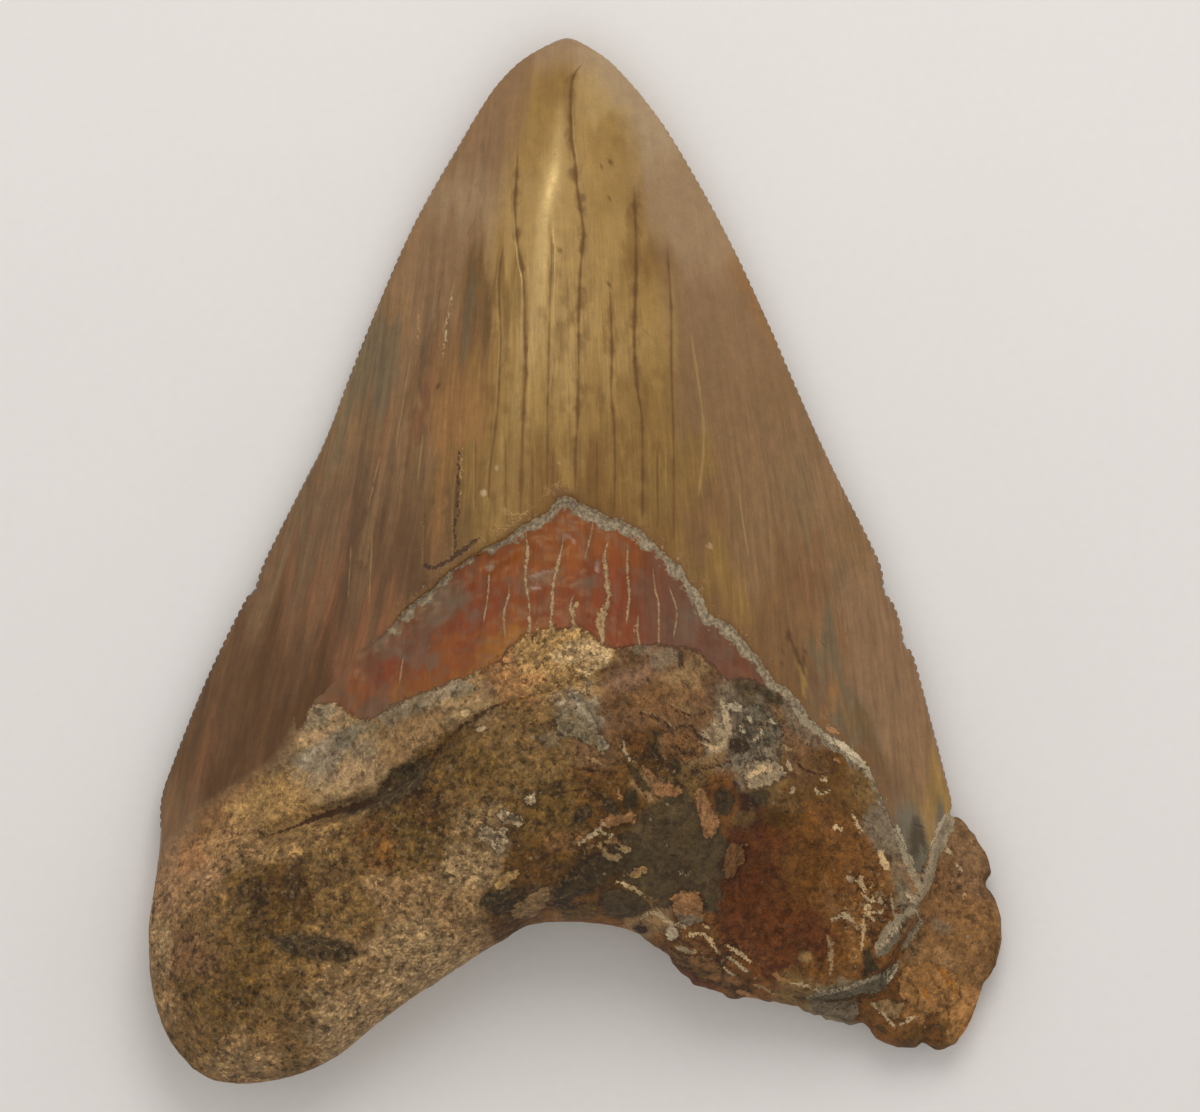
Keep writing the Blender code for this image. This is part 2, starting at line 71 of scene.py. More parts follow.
# The rim as (x, y, height). Cutting edges are sharp and low, root edges are thick and higher.
TIP_RIM = [(-2.7, 51.6, 3.6), (-1.8, 52, 3.6), (-0.9, 52.2, 3.6), (0, 52, 3.6), (0.8, 51.6, 3.6)]
LEFT_RIM = [
    (-2.7, 51.6, 3.6), (-5.4, 50, 3.4), (-7.5, 48, 3.2), (-9, 46, 3.1), (-11.4, 42, 3),
    (-16, 34, 2.8), (-19.6, 26, 2.7), (-22.8, 18, 2.7), (-24.3, 14, 2.7), (-25.6, 10.9, 2.7),
    (-27.1, 8, 2.7), (-31.1, 0, 2.8), (-32.2, -3, 2.8), (-33.3, -4.4, 2.9), (-37, -12, 3.1),
    (-40.2, -20, 3.4), (-41.5, -24, 3.7), (-41.6, -28, 4.4), (-42, -32, 5.4), (-42.6, -36, 6.4),
    (-42.6, -39.5, 7), (-42.4, -42, 7.3), (-41.7, -45.2, 7.4), (-40.3, -48.3, 7.4),
    (-38.2, -50.8, 7.4),
]
RIGHT_RIM = [
    (0.8, 51.6, 3.6), (3.2, 50, 3.4), (5.2, 48, 3.2), (6.9, 46, 3.1), (9.7, 42, 3), (14.3, 34, 2.8),
    (18.2, 26, 2.7), (21.7, 18, 2.7), (25.3, 10, 2.7), (29.3, 2, 2.8), (30.6, -1, 2.8),
    (30.9, -3.2, 2.8), (31.8, -4.5, 2.8), (32.6, -6.8, 2.9), (32.9, -8.6, 2.9), (33.8, -9.8, 3),
    (35.5, -16, 3.1), (36.7, -20.6, 3.2), (37.6, -24.3, 3.3), (37.5, -25.6, 3.3),
    (38.7, -26.1, 3.3), (40.9, -29.3, 3.3), (41.5, -31.2, 3.2), (41.1, -32.6, 3.2),
    (42.2, -34.6, 3.1), (42.6, -37.5, 3), (42.1, -40.4, 3), (41, -42, 3.1), (39.8, -45.4, 3.2),
    (38.5, -47.3, 3.3),
]
BASE_RIM = [
    (-38.2, -50.8, 7.4), (-36, -52, 7.4), (-32.9, -52.3, 7.4), (-29.8, -51.9, 7.5),
    (-26.4, -50.9, 7.7), (-23.3, -49.2, 8), (-20.3, -46.7, 8.4), (-16.8, -44.1, 8.8),
    (-10.7, -40, 9.2), (-7.4, -38, 9.4), (-4.6, -36.4, 9.4), (-1, -36.1, 9.4), (3.4, -36.4, 9.2),
    (6.4, -37.5, 8.8), (8.6, -39, 8.2), (11, -41.5, 7.4), (14.4, -43.4, 6.6), (20.4, -44.4, 5.6),
    (24.2, -45.6, 4.8), (27.4, -46.5, 4.2), (28.8, -46.4, 4), (30.2, -48.2, 3.7),
    (33.7, -48.8, 3.5), (34.7, -48.4, 3.4), (36.2, -48.9, 3.4), (37.9, -48.5, 3.3),
    (38.5, -47.3, 3.3),
]

# Smooth run of the cutting edges, without their chips, down to where they would meet the root's base.
LEFT_FLANK = [
    (-0.9, 53), (-4.6, 51), (-9.2, 46), (-16.2, 34), (-23, 18), (-31.3, 0), (-37.2, -12),
    (-40.4, -20), (-42.6, -28), (-45.5, -42), (-47, -56),
]
RIGHT_FLANK = [
    (-0.9, 53), (2.6, 51), (7.1, 46), (14.5, 34), (21.9, 18), (30.4, 0), (34.8, -12), (37, -20),
    (38.4, -26), (41, -42), (42.5, -56),
]

# Lingual face of the crown: height of its middle ridge against y, and its cross-section.
CROWN_RIDGE = [
    (-60, 17.2), (-30, 17.2), (-10, 16.6), (0, 15.8), (10, 14.6), (20, 13.2), (30, 11.4), (40, 9),
    (46, 7.2), (50, 5.3), (52.5, 3.6),
]
CROWN_HOLLOWNESS = 0.4

# Lingual face of the root: spot heights, and the radius of its rounded rim against x.
ROOT_SPOTS = [
    (-0.7, 3, 14.8), (-0.7, -4, 17.6), (-0.7, -9, 19.8), (-1.6, -15, 22.2), (-1.6, -21, 22.8),
    (-1.6, -27, 21.2), (-1.6, -33, 18.4), (-14, -4, 12.6), (-14, -11, 16.4), (-13, -20, 20),
    (-13, -29, 20), (-12, -36.5, 17.4), (-24.5, -12.5, 9.4), (-22, -18, 12.2), (-25, -27, 14.6),
    (-24, -35, 17.6), (-27, -42, 17), (-33, -22.7, 7.2), (-34.5, -29, 10.4), (-36, -36, 13.2),
    (-36, -44, 14.2), (-30, -48.5, 14.2), (-40, -29, 7), (-41, -37, 10.5), (-20, -43, 16.4),
    (10.3, -1.6, 13.6), (9, -10, 18.6), (8, -19, 21), (12.4, -14, 17.4), (18.7, -11, 10.8),
    (18, -17, 14.4), (12.5, -27, 18), (7.5, -34, 16.6), (19.5, -24, 14), (20, -33, 12.2),
    (15, -40, 11.8), (25.2, -17.5, 8.8), (26, -25, 11.4), (26, -34, 11.2), (24, -41.5, 9.8),
    (29.5, -21.6, 6.8), (32.5, -29, 9.4), (34.5, -27, 7.6), (33, -36, 9.4), (29, -40.5, 9.2),
    (38.5, -34, 7.6), (36.5, -43, 7.6),
]
ROOT_RIM_RADIUS = [(-45, 8), (-30, 7.5), (-12, 5), (6, 4.5), (20, 3.4), (30, 2.2), (45, 1.8)]

# Where the enamel ends on the lingual face, left to right, and the recess of the bourlette below it.
NECK_LINE = [
    (-46, -34), (-41.8, -31), (-39.8, -28.6), (-37.3, -26), (-32.9, -22.7), (-29.4, -20.2),
    (-27.7, -17.4), (-26.4, -14.9), (-24.6, -12.8), (-21.1, -9), (-16.9, -5.1), (-13.9, -2.3),
    (-10.4, 0.4), (-7.6, 1.8), (-5.4, 3.2), (-3.2, 4.7), (-0.7, 6.4), (2.7, 4.3), (5.7, 2.9),
    (8.2, 0.7), (10.2, -0.9), (12.1, -2.9), (13.4, -5.5), (15.7, -6.9), (18.2, -10.1),
    (21.3, -13.2), (24.6, -16.8), (29.3, -20.9), (32, -23.6), (35.2, -25.2), (42, -25.4),
]
NECK_BLEND = (-0.6, 2.2)
ENAMEL_STEP = [(-22, 0), (-17, 0.8), (-8, 0.8), (-3, 0.4), (20, 0.35), (27, 0)]
ENAMEL_STEP_RUN = (-0.2, 0.3)
BOURLETTE_RUN = (2.0, 8.0)

# Groove between the smooth neck and the coarse root, as (x, y, depth).
NECK_GROOVE = [
    (-32, -28.6, 0.4), (-30, -27.2, 1.5), (-26.4, -25.7, 1.8), (-21.6, -24.2, 1.8),
    (-17.4, -21.8, 1.6), (-13.6, -19.1, 1.2), (-9.6, -15.6, 1), (-3.3, -13.4, 0.9),
    (1.4, -11.4, 0.7), (5.3, -10.3, 0.4),
]
GROOVE_HALF_WIDTH = 1.0

# Broken right-hand corner: a ledge whose outer side has come away, as (x, y, drop), a hollow and a
# slab of matrix.
CORNER_LEDGE = [
    (37, -23, 0.4), (36.9, -25.2, 1), (36.2, -27.4, 1.8), (35.6, -30.3, 2.2), (34.7, -32.7, 2.4),
    (33.8, -35.2, 2.4), (32.1, -38.5, 2.4), (30.3, -40.7, 2.2), (28.5, -42.4, 1.8),
    (25.1, -43.3, 1.2), (21.3, -42.4, 0.5), (19, -42, 0),
]
LEDGE_WIDTH = 0.6
HOLLOW_CENTRE, HOLLOW_RADII, HOLLOW_DEPTH = (19.6, -31.2), (5.6, 6.4), 1.9
SLAB_CENTRE, SLAB_RADII, SLAB_RISE = (10.4, -29.6), (4.9, 6.2), 0.8

# Roughness: low lumps on the left of the root, scalloped chips on its broken right.
LUMP_SIZE, LUMP_HEIGHT, LUMP_LAYER = 3.0, 0.3, 3.0
LUMP_FRACTAL = (0.9, 2.1, 3)                # falloff, lacunarity and octaves
CHIP_SIZE, CHIP_TILT, CHIP_STEP, CHIP_BOWL = 4.4, 0.28, 0.6, 0.07
CHIP_LAYER, TILT_STRIDE = 8.0, 7.3          # of the noise that the chips are cut from
TILT_SEED = 1795463881                      # of the chips' tilts and levels
WARP_SIZE, WARP_REACH, WARP_LAYERS = 6.0, 1.6, (5.0, 6.0)
BREAK_X = (4.0, 12.0)
BREAK_PAST_NECK = (4.5, 9.0)
FLANGE_CHIPS = 0.35
SCALLOP_END = (0.65, 1.2)                   # where the hollow and the slab run out, in radii
LEAST_RIDGE, LEAST_BODY = 0.2, 0.4          # of the crown and the root above the rim

# Labial face: the crown's middle is flat, and the root is set back a little behind the enamel's end.
LABIAL_FLAT_SHARE, LABIAL_FLAT_POWER = 0.45, 2.5
LABIAL_ROOT_RADIUS = [(-45, 6.5), (9, 6.5), (30, 2.4), (45, 2)]
LABIAL_TIP_LIFT = [(26, 0), (53, 1.9)]
LABIAL_NECK = [(-46, -31), (-38, -28), (-20, -22), (0, -19), (18, -21), (42, -26)]
LABIAL_NECK_BLEND = (-2.5, 2.5)
LABIAL_STEP, LABIAL_STEP_WIDTH = 0.35, 0.8

# ---------------------------------------------------------------------------------------------
# Fine form, only in this skin
# ---------------------------------------------------------------------------------------------

LINGUAL_ROWS, LINGUAL_COLUMNS = ((294, 256))
LABIAL_ROWS, LABIAL_COLUMNS = ((146, 126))
CROWN_ROWS, CROWN_LENGTH = 0.36, 0.50       # share of the rows that the upper share of the length gets
COLUMN_CROWDING = 0.25
ROOT_RIM_STEP = 0.3
SERRATION_POINTS = 6                        # rim points in one serration

GRAIN_SIZE, GRAIN_HEIGHT, GRAIN_OCTAVES = 0.9, 0.20, 2      # sand grains of the root
GRAIN_WORN = 0.6                            # share of their height that the broken side has lost
LABIAL_GRAIN = 0.6                          # share of their height on the labial face
SMALL_CHIP_SHARE = 0.35                     # second, smaller size of chips on the broken side
CRACK_GROOVE_WIDTH, CRACK_GROOVE_DEPTH = 0.25, 0.03
SWELL_CENTRE, SWELL_RADII, SWELL_RISE = (-2.6, 37.6), (7.0, 5.0), 0.28     # on the crown near its tip
FAN_SHARE = 0.38                            # how much of the crown's widening its streaks follow
FAN_WIDTH = 40.0                            # crown width at which they run straight
LEAST_WIDTH = 0.5
SERRATION_SHARPNESS, SERRATION_LEVEL = 0.8, 0.6
WEAR_MEAN, WEAR_SWING, WEAR_SIZE = 0.75, 0.45, 4.0      # how high the serrations still stand
RIM_CHIP_DEPTH, RIM_CHIP_SIZE, RIM_CHIP_ROW = 0.10, 0.7, 7
RIM_CHIP_WHOLE = 0.3                        # share of the rim's chips on the whole side
BASE_NICK_SIZE, BASE_NICK_DEPTH = 1.3, 0.28     # crumbled lower rim of the broken side
SMALL_NICK_SIZE, SMALL_NICK_SHARE = 0.6, 0.5
NICK_ROWS, NICK_X, NICK_WHOLE, NICK_END = (3, 9), (4.0, 9.0), 0.2, 0.02
# Size and reach of the noise that makes the enamel's end ragged.
ENAMEL_END_WARP = [(2.4, 0.35), (0.8, 0.18)]
OUTLINE_STRIDE = 5                          # every fifth point of the rim curves makes the outline
NOISE_SEEDS = (11, 12, 13, 14)


def smooth_curve(points, step=CURVE_STEP):
    """Points about `step` apart on a Catmull-Rom curve through the given ones."""
    knots = np.array(points, dtype=float)
    padded = np.vstack([2 * knots[0] - knots[1], knots, 2 * knots[-1] - knots[-2]])
    stretches = []
    for before, start, end, after in zip(padded, padded[1:], padded[2:], padded[3:]):
        count = max(2, int(np.ceil(np.linalg.norm((end - start)[:2]) / step)))
        f = np.linspace(0.0, 1.0, count, endpoint=False)[:, None]
        stretches.append(0.5 * (2 * start + (end - before) * f
                                + (2 * before - 5 * start + 4 * end - after) * f ** 2
                                + (3 * start - before - 3 * end + after) * f ** 3))
    return np.vstack(stretches + [knots[-1:]])


def run_of(curve):
    """Distance run along a curve at each of its points."""
    return np.concatenate([[0.0], np.cumsum(np.linalg.norm(np.diff(curve[:, :2], axis=0), axis=1))])


def point_on(curve, share):
    """Points of a curve at the given shares of its length."""
    run = run_of(curve)
    where = np.asarray(share, dtype=float) * run[-1]
    return np.stack([np.interp(where, run, curve[:, k]) for k in range(curve.shape[1])], axis=-1)


def smoothstep(low, high, value):
    share = np.clip((value - low) / (high - low), 0.0, 1.0)
    return share * share * (3 - 2 * share)


def from_table(table, value):
    """Straight-line interpolation in a short table of pairs in rising order."""
    keys, results = zip(*table)
    return np.interp(value, keys, results)


def nearest_on(curve, x, y, batch=4000):
    """Distance from each place to a curve, and the index of the curve's nearest point."""
    distance, nearest = np.empty(len(x)), np.empty(len(x), dtype=int)
    for start in range(0, len(x), batch):
        some = slice(start, start + batch)
        gap = (x[some, None] - curve[None, :, 0]) ** 2 + (y[some, None] - curve[None, :, 1]) ** 2
        nearest[some] = gap.argmin(axis=1)
        distance[some] = np.sqrt(gap.min(axis=1))
    return distance, nearest


def side_of(curve, x, y):
    """Signed distance to a curve: positive on its right-hand side, going from first to last point."""
    distance, nearest = nearest_on(curve, x, y)
    nearest = np.clip(nearest, 1, len(curve) - 2)
    heading = curve[nearest + 1, :2] - curve[nearest - 1, :2]
    offset_x, offset_y = x - curve[nearest, 0], y - curve[nearest, 1]
    return distance * np.sign(heading[:, 1] * offset_x - heading[:, 0] * offset_y)


def thin_plate(spots):
    """A smooth function of x and y that passes through the given (x, y, height) spots."""
    spots = np.array(spots, dtype=float)
    places, count = spots[:, :2], len(spots)

    def bend(x, y):
        gap = (x[:, None] - places[None, :, 0]) ** 2 + (y[:, None] - places[None, :, 1]) ** 2
        return 0.5 * gap * np.log(np.maximum(gap, 1e-9))

    plane = np.column_stack([np.ones(count), places])
    system = np.zeros((count + 3, count + 3))
    system[:count, :count] = bend(places[:, 0], places[:, 1])
    system[:count, count:] = plane
    system[count:, :count] = plane.T
    weights = np.linalg.solve(system, np.concatenate([spots[:, 2], np.zeros(3)]))

    def height(x, y):
        flat = np.column_stack([np.ones(len(x)), x, y])
        return bend(x, y) @ weights[:count] + flat @ weights[count:]

    return height


def lumps(x, y, size, seed):
    """Fractal noise from about -1 to 1, with lumps of the given size."""
    return np.array([noise.fractal(Vector((a / size, b / size, seed)), *LUMP_FRACTAL)
                     for a, b in zip(x, y)])


def chips(x, y, scale=1.0):
    """Height of a surface broken in shallow scallops, each at a tilt and a level of its own."""
    noise.seed_set(TILT_SEED)
    size = CHIP_SIZE * scale
    heights = []
    for a, b in zip(x / size, y / size):
        place = Vector((a, b, CHIP_LAYER))
        levels = []
        for centre in noise.voronoi(place)[1]:
            tilt = noise.noise_vector(centre * TILT_STRIDE)
            offset = (place - centre) * CHIP_SIZE
            levels.append(CHIP_TILT * (tilt.x * offset.x + tilt.y * offset.y) + CHIP_STEP * tilt.z
                          + CHIP_BOWL * offset.length_squared)
        heights.append(min(levels))
    return np.array(heights) * scale


class Noise:
    """Quick smooth noise from -1 to 1 on a seeded lattice, for the fine forms and the colours."""

    SIDE = 512
    OCTAVE_SHIFT = (17.3, -9.1)

    def __init__(self, seed):
        self.values = np.random.default_rng(seed).uniform(-1, 1, (self.SIDE, self.SIDE))

    def at(self, x, y, size_x, size_y=None):
        gx, gy = x / size_x + self.SIDE, y / (size_y or size_x) + self.SIDE
        column, row = np.floor(gx).astype(int), np.floor(gy).astype(int)
        fx, fy = gx - column, gy - row
        fx, fy = fx * fx * (3 - 2 * fx), fy * fy * (3 - 2 * fy)
        side = self.SIDE
        left, right, low, high = column % side, (column + 1) % side, row % side, (row + 1) % side
        v = self.values
        return ((v[left, low] * (1 - fx) + v[right, low] * fx) * (1 - fy)
                + (v[left, high] * (1 - fx) + v[right, high] * fx) * fy)

    def layered(self, x, y, size, octaves=3):
        """Several sizes of this noise on top of each other, each half as large and half as strong."""
        total, strength = 0.0, 1.0
        shift_x, shift_y = self.OCTAVE_SHIFT
        for octave in range(octaves):
            layer = self.at(x + shift_x * octave, y + shift_y * octave, size / 2 ** octave)
            total = total + strength * layer
            strength *= 0.5
        return total / (2 - 2 * strength)

    def along(self, run, row, size):
        """The noise along one of its rows."""
        return self.at(run, np.full_like(run, row), size)


LEFT, RIGHT, TIP, BASE = (smooth_curve(points) for points in (LEFT_RIM, RIGHT_RIM, TIP_RIM, BASE_RIM))
NECK, GROOVE, LEDGE = (smooth_curve(points) for points in (NECK_LINE, NECK_GROOVE, CORNER_LEDGE))
RIDGE = smooth_curve(CROWN_RIDGE)
RIM_HEIGHT = thin_plate(LEFT_RIM + BASE_RIM[1:] + RIGHT_RIM[-2::-1] + TIP_RIM[-2:0:-1])
ROOT_BODY = thin_plate(ROOT_SPOTS)
LEFT_SIDE, RIGHT_SIDE = smooth_curve(LEFT_FLANK), smooth_curve(RIGHT_FLANK)
LABIAL_LINE = smooth_curve(LABIAL_NECK)
OUTLINE = np.vstack([curve[::step] for curve, step in ((LEFT, OUTLINE_STRIDE), (BASE, OUTLINE_STRIDE),
                                                       (RIGHT, -OUTLINE_STRIDE), (TIP, -OUTLINE_STRIDE))])
ROOT_OUTLINE = OUTLINE[OUTLINE[:, 1] < CROWN_END_RIGHT_Y]
GRAIN_NOISE, WARP_NOISE, STREAK_NOISE, SPOT_NOISE = (Noise(seed) for seed in NOISE_SEEDS)


def fan_point(across, along):
    """Place of a fan point: the four rim curves blended across the inside."""
    s, t = across[:, None], along[:, None]
    sides = (1 - s) * point_on(LEFT, along) + s * point_on(RIGHT, along)
    ends = (1 - t) * point_on(TIP, across) + t * point_on(BASE, across)
    corners = ((1 - s) * (1 - t) * TIP[0] + s * (1 - t) * TIP[-1]
               + (1 - s) * t * BASE[0] + s * t * BASE[-1])
    return (sides + ends - corners)[:, :2].T


def flanks(y):
    """Where the two sides of the crown run at a height y."""
    return [np.interp(-y, -side[:, 1], side[:, 0]) for side in (LEFT_SIDE, RIGHT_SIDE)]


def lateral(x, y):
    """Place across the crown: -1 at the left cutting edge, 0 in the middle, 1 at the right one."""
    left, right = flanks(y)
    return np.clip((2 * x - left - right) / np.maximum(right - left, LEAST_WIDTH), -1.0, 1.0)


def flow(x, y):
    """Place across the crown in the run of its streaks, which fan out less than its edges do."""
    left, right = flanks(y)
    spread = 1 + FAN_SHARE * ((right - left) / FAN_WIDTH - 1)
    return (x - (left + right) / 2) / spread


def crown_height(x, y, rim):
    """Lingual face of the crown: a ridge that falls away to both cutting edges."""
    u = lateral(x, y)
    section = (1 - CROWN_HOLLOWNESS) * (1 - u ** 2) + CROWN_HOLLOWNESS * 0.5 * (1 + np.cos(np.pi * u))
    ridge = np.interp(y, RIDGE[:, 0], RIDGE[:, 1])
    return rim + np.maximum(ridge - rim, LEAST_RIDGE) * section


def rounded(distance, radius):
    """Quarter-round section: 0 at the rim, 1 from one radius inwards."""
    share = np.clip(distance / radius, 0.0, 1.0)
    return np.sqrt(1 - (1 - share) ** 2)


def broken_share(x, past_neck):
    """1 on the root's torn right-hand side, 0 on its whole left-hand side."""
    return smoothstep(*BREAK_X, x) * smoothstep(*BREAK_PAST_NECK, past_neck)


def root_height(x, y, rim, past_neck):
    """Lingual face of the root, with its lumps, grain, broken corner, hollow and slab."""
    past_ledge = smoothstep(0.0, LEDGE_WIDTH, -side_of(LEDGE, x, y))
    broken = broken_share(x, past_neck)
    warped_x, warped_y = (value + WARP_REACH * lumps(x, y, WARP_SIZE, seed)
                          for value, seed in zip((x, y), WARP_LAYERS))
    body = ROOT_BODY(x, y)
    body += (1 - broken) * LUMP_HEIGHT * lumps(x, y, LUMP_SIZE, LUMP_LAYER)
    body += (1 - GRAIN_WORN * broken) * GRAIN_HEIGHT * GRAIN_NOISE.layered(x, y, GRAIN_SIZE, GRAIN_OCTAVES)
    scallops = chips(warped_x, warped_y) + chips(warped_x, warped_y, SMALL_CHIP_SHARE)
    body += broken * (1 - (1 - FLANGE_CHIPS) * past_ledge) * scallops
    body -= LEDGE[nearest_on(LEDGE, x, y)[1], 2] * past_ledge
    for centre, radii, lift in ((HOLLOW_CENTRE, HOLLOW_RADII, -HOLLOW_DEPTH),
                                (SLAB_CENTRE, SLAB_RADII, SLAB_RISE)):
        reach = np.hypot((warped_x - centre[0]) / radii[0], (warped_y - centre[1]) / radii[1])
        body += lift * (1 - smoothstep(*SCALLOP_END, reach))
    section = rounded(nearest_on(ROOT_OUTLINE, x, y)[0], from_table(ROOT_RIM_RADIUS, x))
    return rim + np.maximum(body - rim, LEAST_BODY) * section


def ragged(distance, x, y):
    """A signed distance to the enamel's end, made ragged as broken enamel is."""
    for size, reach in ENAMEL_END_WARP:
        distance = distance + reach * WARP_NOISE.at(x, y, size)
    return distance


def lingual_points(across, along):
    """Points of the lingual sheet: crown, bourlette, groove and root."""
    x, y = fan_point(across, along)
    rim = RIM_HEIGHT(x, y)
    past_neck = side_of(NECK, x, y)
    root_share = smoothstep(*NECK_BLEND, past_neck)
    z = (1 - root_share) * crown_height(x, y, rim) + root_share * root_height(x, y, rim, past_neck)
    torn = ragged(past_neck, x, y)
    recess = smoothstep(*ENAMEL_STEP_RUN, torn) * (1 - smoothstep(*BOURLETTE_RUN, past_neck))
    z -= from_table(ENAMEL_STEP, x) * recess
    to_groove, nearest = nearest_on(GROOVE, x, y)
    z -= GROOVE[nearest, 2] * np.exp(-(to_groove / GROOVE_HALF_WIDTH) ** 2)
    swell = np.hypot((x - SWELL_CENTRE[0]) / SWELL_RADII[0], (y - SWELL_CENTRE[1]) / SWELL_RADII[1])
    z += SWELL_RISE * np.exp(-swell ** 2)
    crack, width = line_field(CROWN_CRACKS, x, y)
    z -= (1 - root_share) * CRACK_GROOVE_DEPTH * (width > 0) * np.exp(-(crack / CRACK_GROOVE_WIDTH) ** 2)
    return np.column_stack([x, y, z])


def labial_points(across, along):
    """Points of the labial sheet: flat in the middle and rounded up to the rim."""
    x, y = fan_point(across, along)
    rim = RIM_HEIGHT(x, y)
    u = np.abs(lateral(x, y))
    past_flat = np.clip(u - LABIAL_FLAT_SHARE, 0, 1) / (1 - LABIAL_FLAT_SHARE)
    crown_section = 1 - past_flat ** LABIAL_FLAT_POWER
    root_section = rounded(nearest_on(ROOT_OUTLINE, x, y)[0], from_table(LABIAL_ROOT_RADIUS, x))
    past_neck = side_of(LABIAL_LINE, x, y)
    root_share = smoothstep(*LABIAL_NECK_BLEND, past_neck)
    section = (1 - root_share) * crown_section + root_share * root_section
    lift = from_table(LABIAL_TIP_LIFT, y) + LABIAL_STEP * smoothstep(0.0, LABIAL_STEP_WIDTH, past_neck)
    grain = 1 + GRAIN_NOISE.layered(x, y, GRAIN_SIZE, GRAIN_OCTAVES)
    lift += LABIAL_GRAIN * GRAIN_HEIGHT * root_share * grain
    return np.column_stack([x, y, rim - (rim - lift) * section])


# ---------------------------------------------------------------------------------------------
# Lines that run down the tooth
# ---------------------------------------------------------------------------------------------

# Cracks of the crown, left to right: half width, then the line from its upper to its lower end.
CROWN_CRACKS = [
    (0.07, [(-15, 6.4), (-15.1, -0.7)]), (0.13, [(-11.7, 9), (-12, 5.4), (-12.1, 0.6)]),
    (0.05, [(-10, 12.5), (-10, 5)]),
    (0.08, [(-7.2, 31.7), (-7.7, 27.5), (-7.5, 22.7), (-7.6, 18.9), (-7.8, 15), (-8.5, 9.3),
        (-8.7, 6)]),
    (0.05, [(-7, 12.5), (-7, 5)]),
    (0.12, [(-5.8, 40.8), (-6, 37.3), (-6.1, 35.1), (-5.8, 31.3), (-5.2, 27.5), (-5.1, 22.7),
        (-5, 18.9), (-5.2, 15), (-5.4, 9.3), (-5.5, 4.5)]),
    (0.06, [(-4.3, 12), (-4.3, 4)]),
    (0.07, [(-2.4, 33), (-2.4, 29.4), (-2.6, 24.6), (-2.7, 18.9), (-2.8, 14.1), (-2.8, 7)]),
    (0.05, [(-2.2, 11.5), (-2.2, 6)]),
    (0.15, [(0.8, 49.8), (-0.3, 48.1), (-0.5, 45.3), (-0.4, 41.7), (-0.1, 39.9), (0.1, 37.3),
        (0.5, 34.6), (0.8, 32.4), (0.7, 31.3), (0.4, 27.5), (0.3, 22.7), (0.3, 18.9), (0.2, 14.1),
        (0, 10.3), (0, 6.8)]),
    (0.06, [(2.1, 12), (2.1, 5)]),
    (0.1, [(3.4, 27.3), (3.6, 20.8), (3.5, 17), (3.8, 13.1), (3.9, 9.7), (3.8, 4)]),
    (0.14, [(5.8, 37.2), (6, 29.4), (5.8, 21.7), (6.1, 17), (6.6, 13.1), (6.6, 4)]),
    (0.05, [(8.1, 12), (8.1, 3)]),
    (0.08, [(9.1, 31.3), (9.5, 24.6), (9.5, 18.9), (9.7, 12.2), (9.7, 2)]),
]

# Fine pale splits of the enamel, in the same form.
CROWN_SCRATCHES = [
    (0.04, [(-22.4, 2.1), (-22.7, -3.8)]), (0.04, [(-20.2, 4.8), (-20.6, -4.7)]),
    (0.05, [(-19.4, 11.1), (-20.8, 5)]), (0.04, [(-16.4, 21), (-18, 11)]),
    (0.04, [(-15.2, 13), (-15.8, 7.4)]), (0.05, [(-12, 28.3), (-13.3, 22.5)]),
    (0.05, [(-11.5, 14.2), (-11.5, 8)]), (0.03, [(8.9, 12), (9, 4.4)]),
    (0.06, [(11.4, 23.1), (12.5, 15.4), (12.7, 11.2), (12.2, 6.3)]), (0.04, [(16, 8), (17.2, 0)]),
]

# Cream-filled cracks of the bourlette, in the same form.
BOURLETTE_CRACKS = [
    (0.08, [(-17.1, -9.5), (-17.5, -12.4)]), (0.09, [(-8.6, -0.5), (-8.7, -3.2), (-9.1, -6.1)]),
    (0.13, [(-6.6, -2.3), (-6.7, -3.9), (-7.1, -5.3), (-7, -7.6)]),
    (0.17, [(-5, 3.1), (-4.8, 0.6), (-5, -1.9), (-4.6, -4.7), (-4.6, -7.8)]),
    (0.2, [(-1.2, 2.5), (-1.6, 0.2), (-2.2, -2.3), (-2.3, -4.4), (-2.6, -7.8)]),
    (0.22, [(0, -3.2), (-0.5, -4.4), (-0.2, -6.3), (-0.1, -8)]),
    (0.1, [(1.8, 4.1), (1.4, 2.1), (0.9, 0)]),
    (0.26, [(3.4, 2.3), (2.9, 0.6), (3.1, -2.3), (3.2, -4.2), (2.7, -5.7), (2.6, -8.6)]),
    (0.08, [(4.1, -8.2), (4.1, -10.3)]), (0.14, [(5.2, 1.8), (5.1, -0.9), (5.3, -3.6), (5, -6.3)]),
    (0.09, [(6.2, -5.3), (6.1, -7), (6.4, -8.8)]),
    (0.09, [(7.6, -0.5), (7.9, -3.2), (8.2, -4.4), (8.2, -8.8)]),
    (0.08, [(9.1, -2.3), (10, -5.1), (9.7, -7.6)]),
]
# A line runs out over a share of its length at its upper end, up to a greatest length, and over a
# share of that at its lower end, which it overruns a little.
LINE_END, LINE_END_SHARE = 2.2, 0.3
LINE_FOOT_SHARE, LINE_OVERRUN = 0.3, 0.2
LINE_REACH = 2.0                            # greatest distance that the field gives


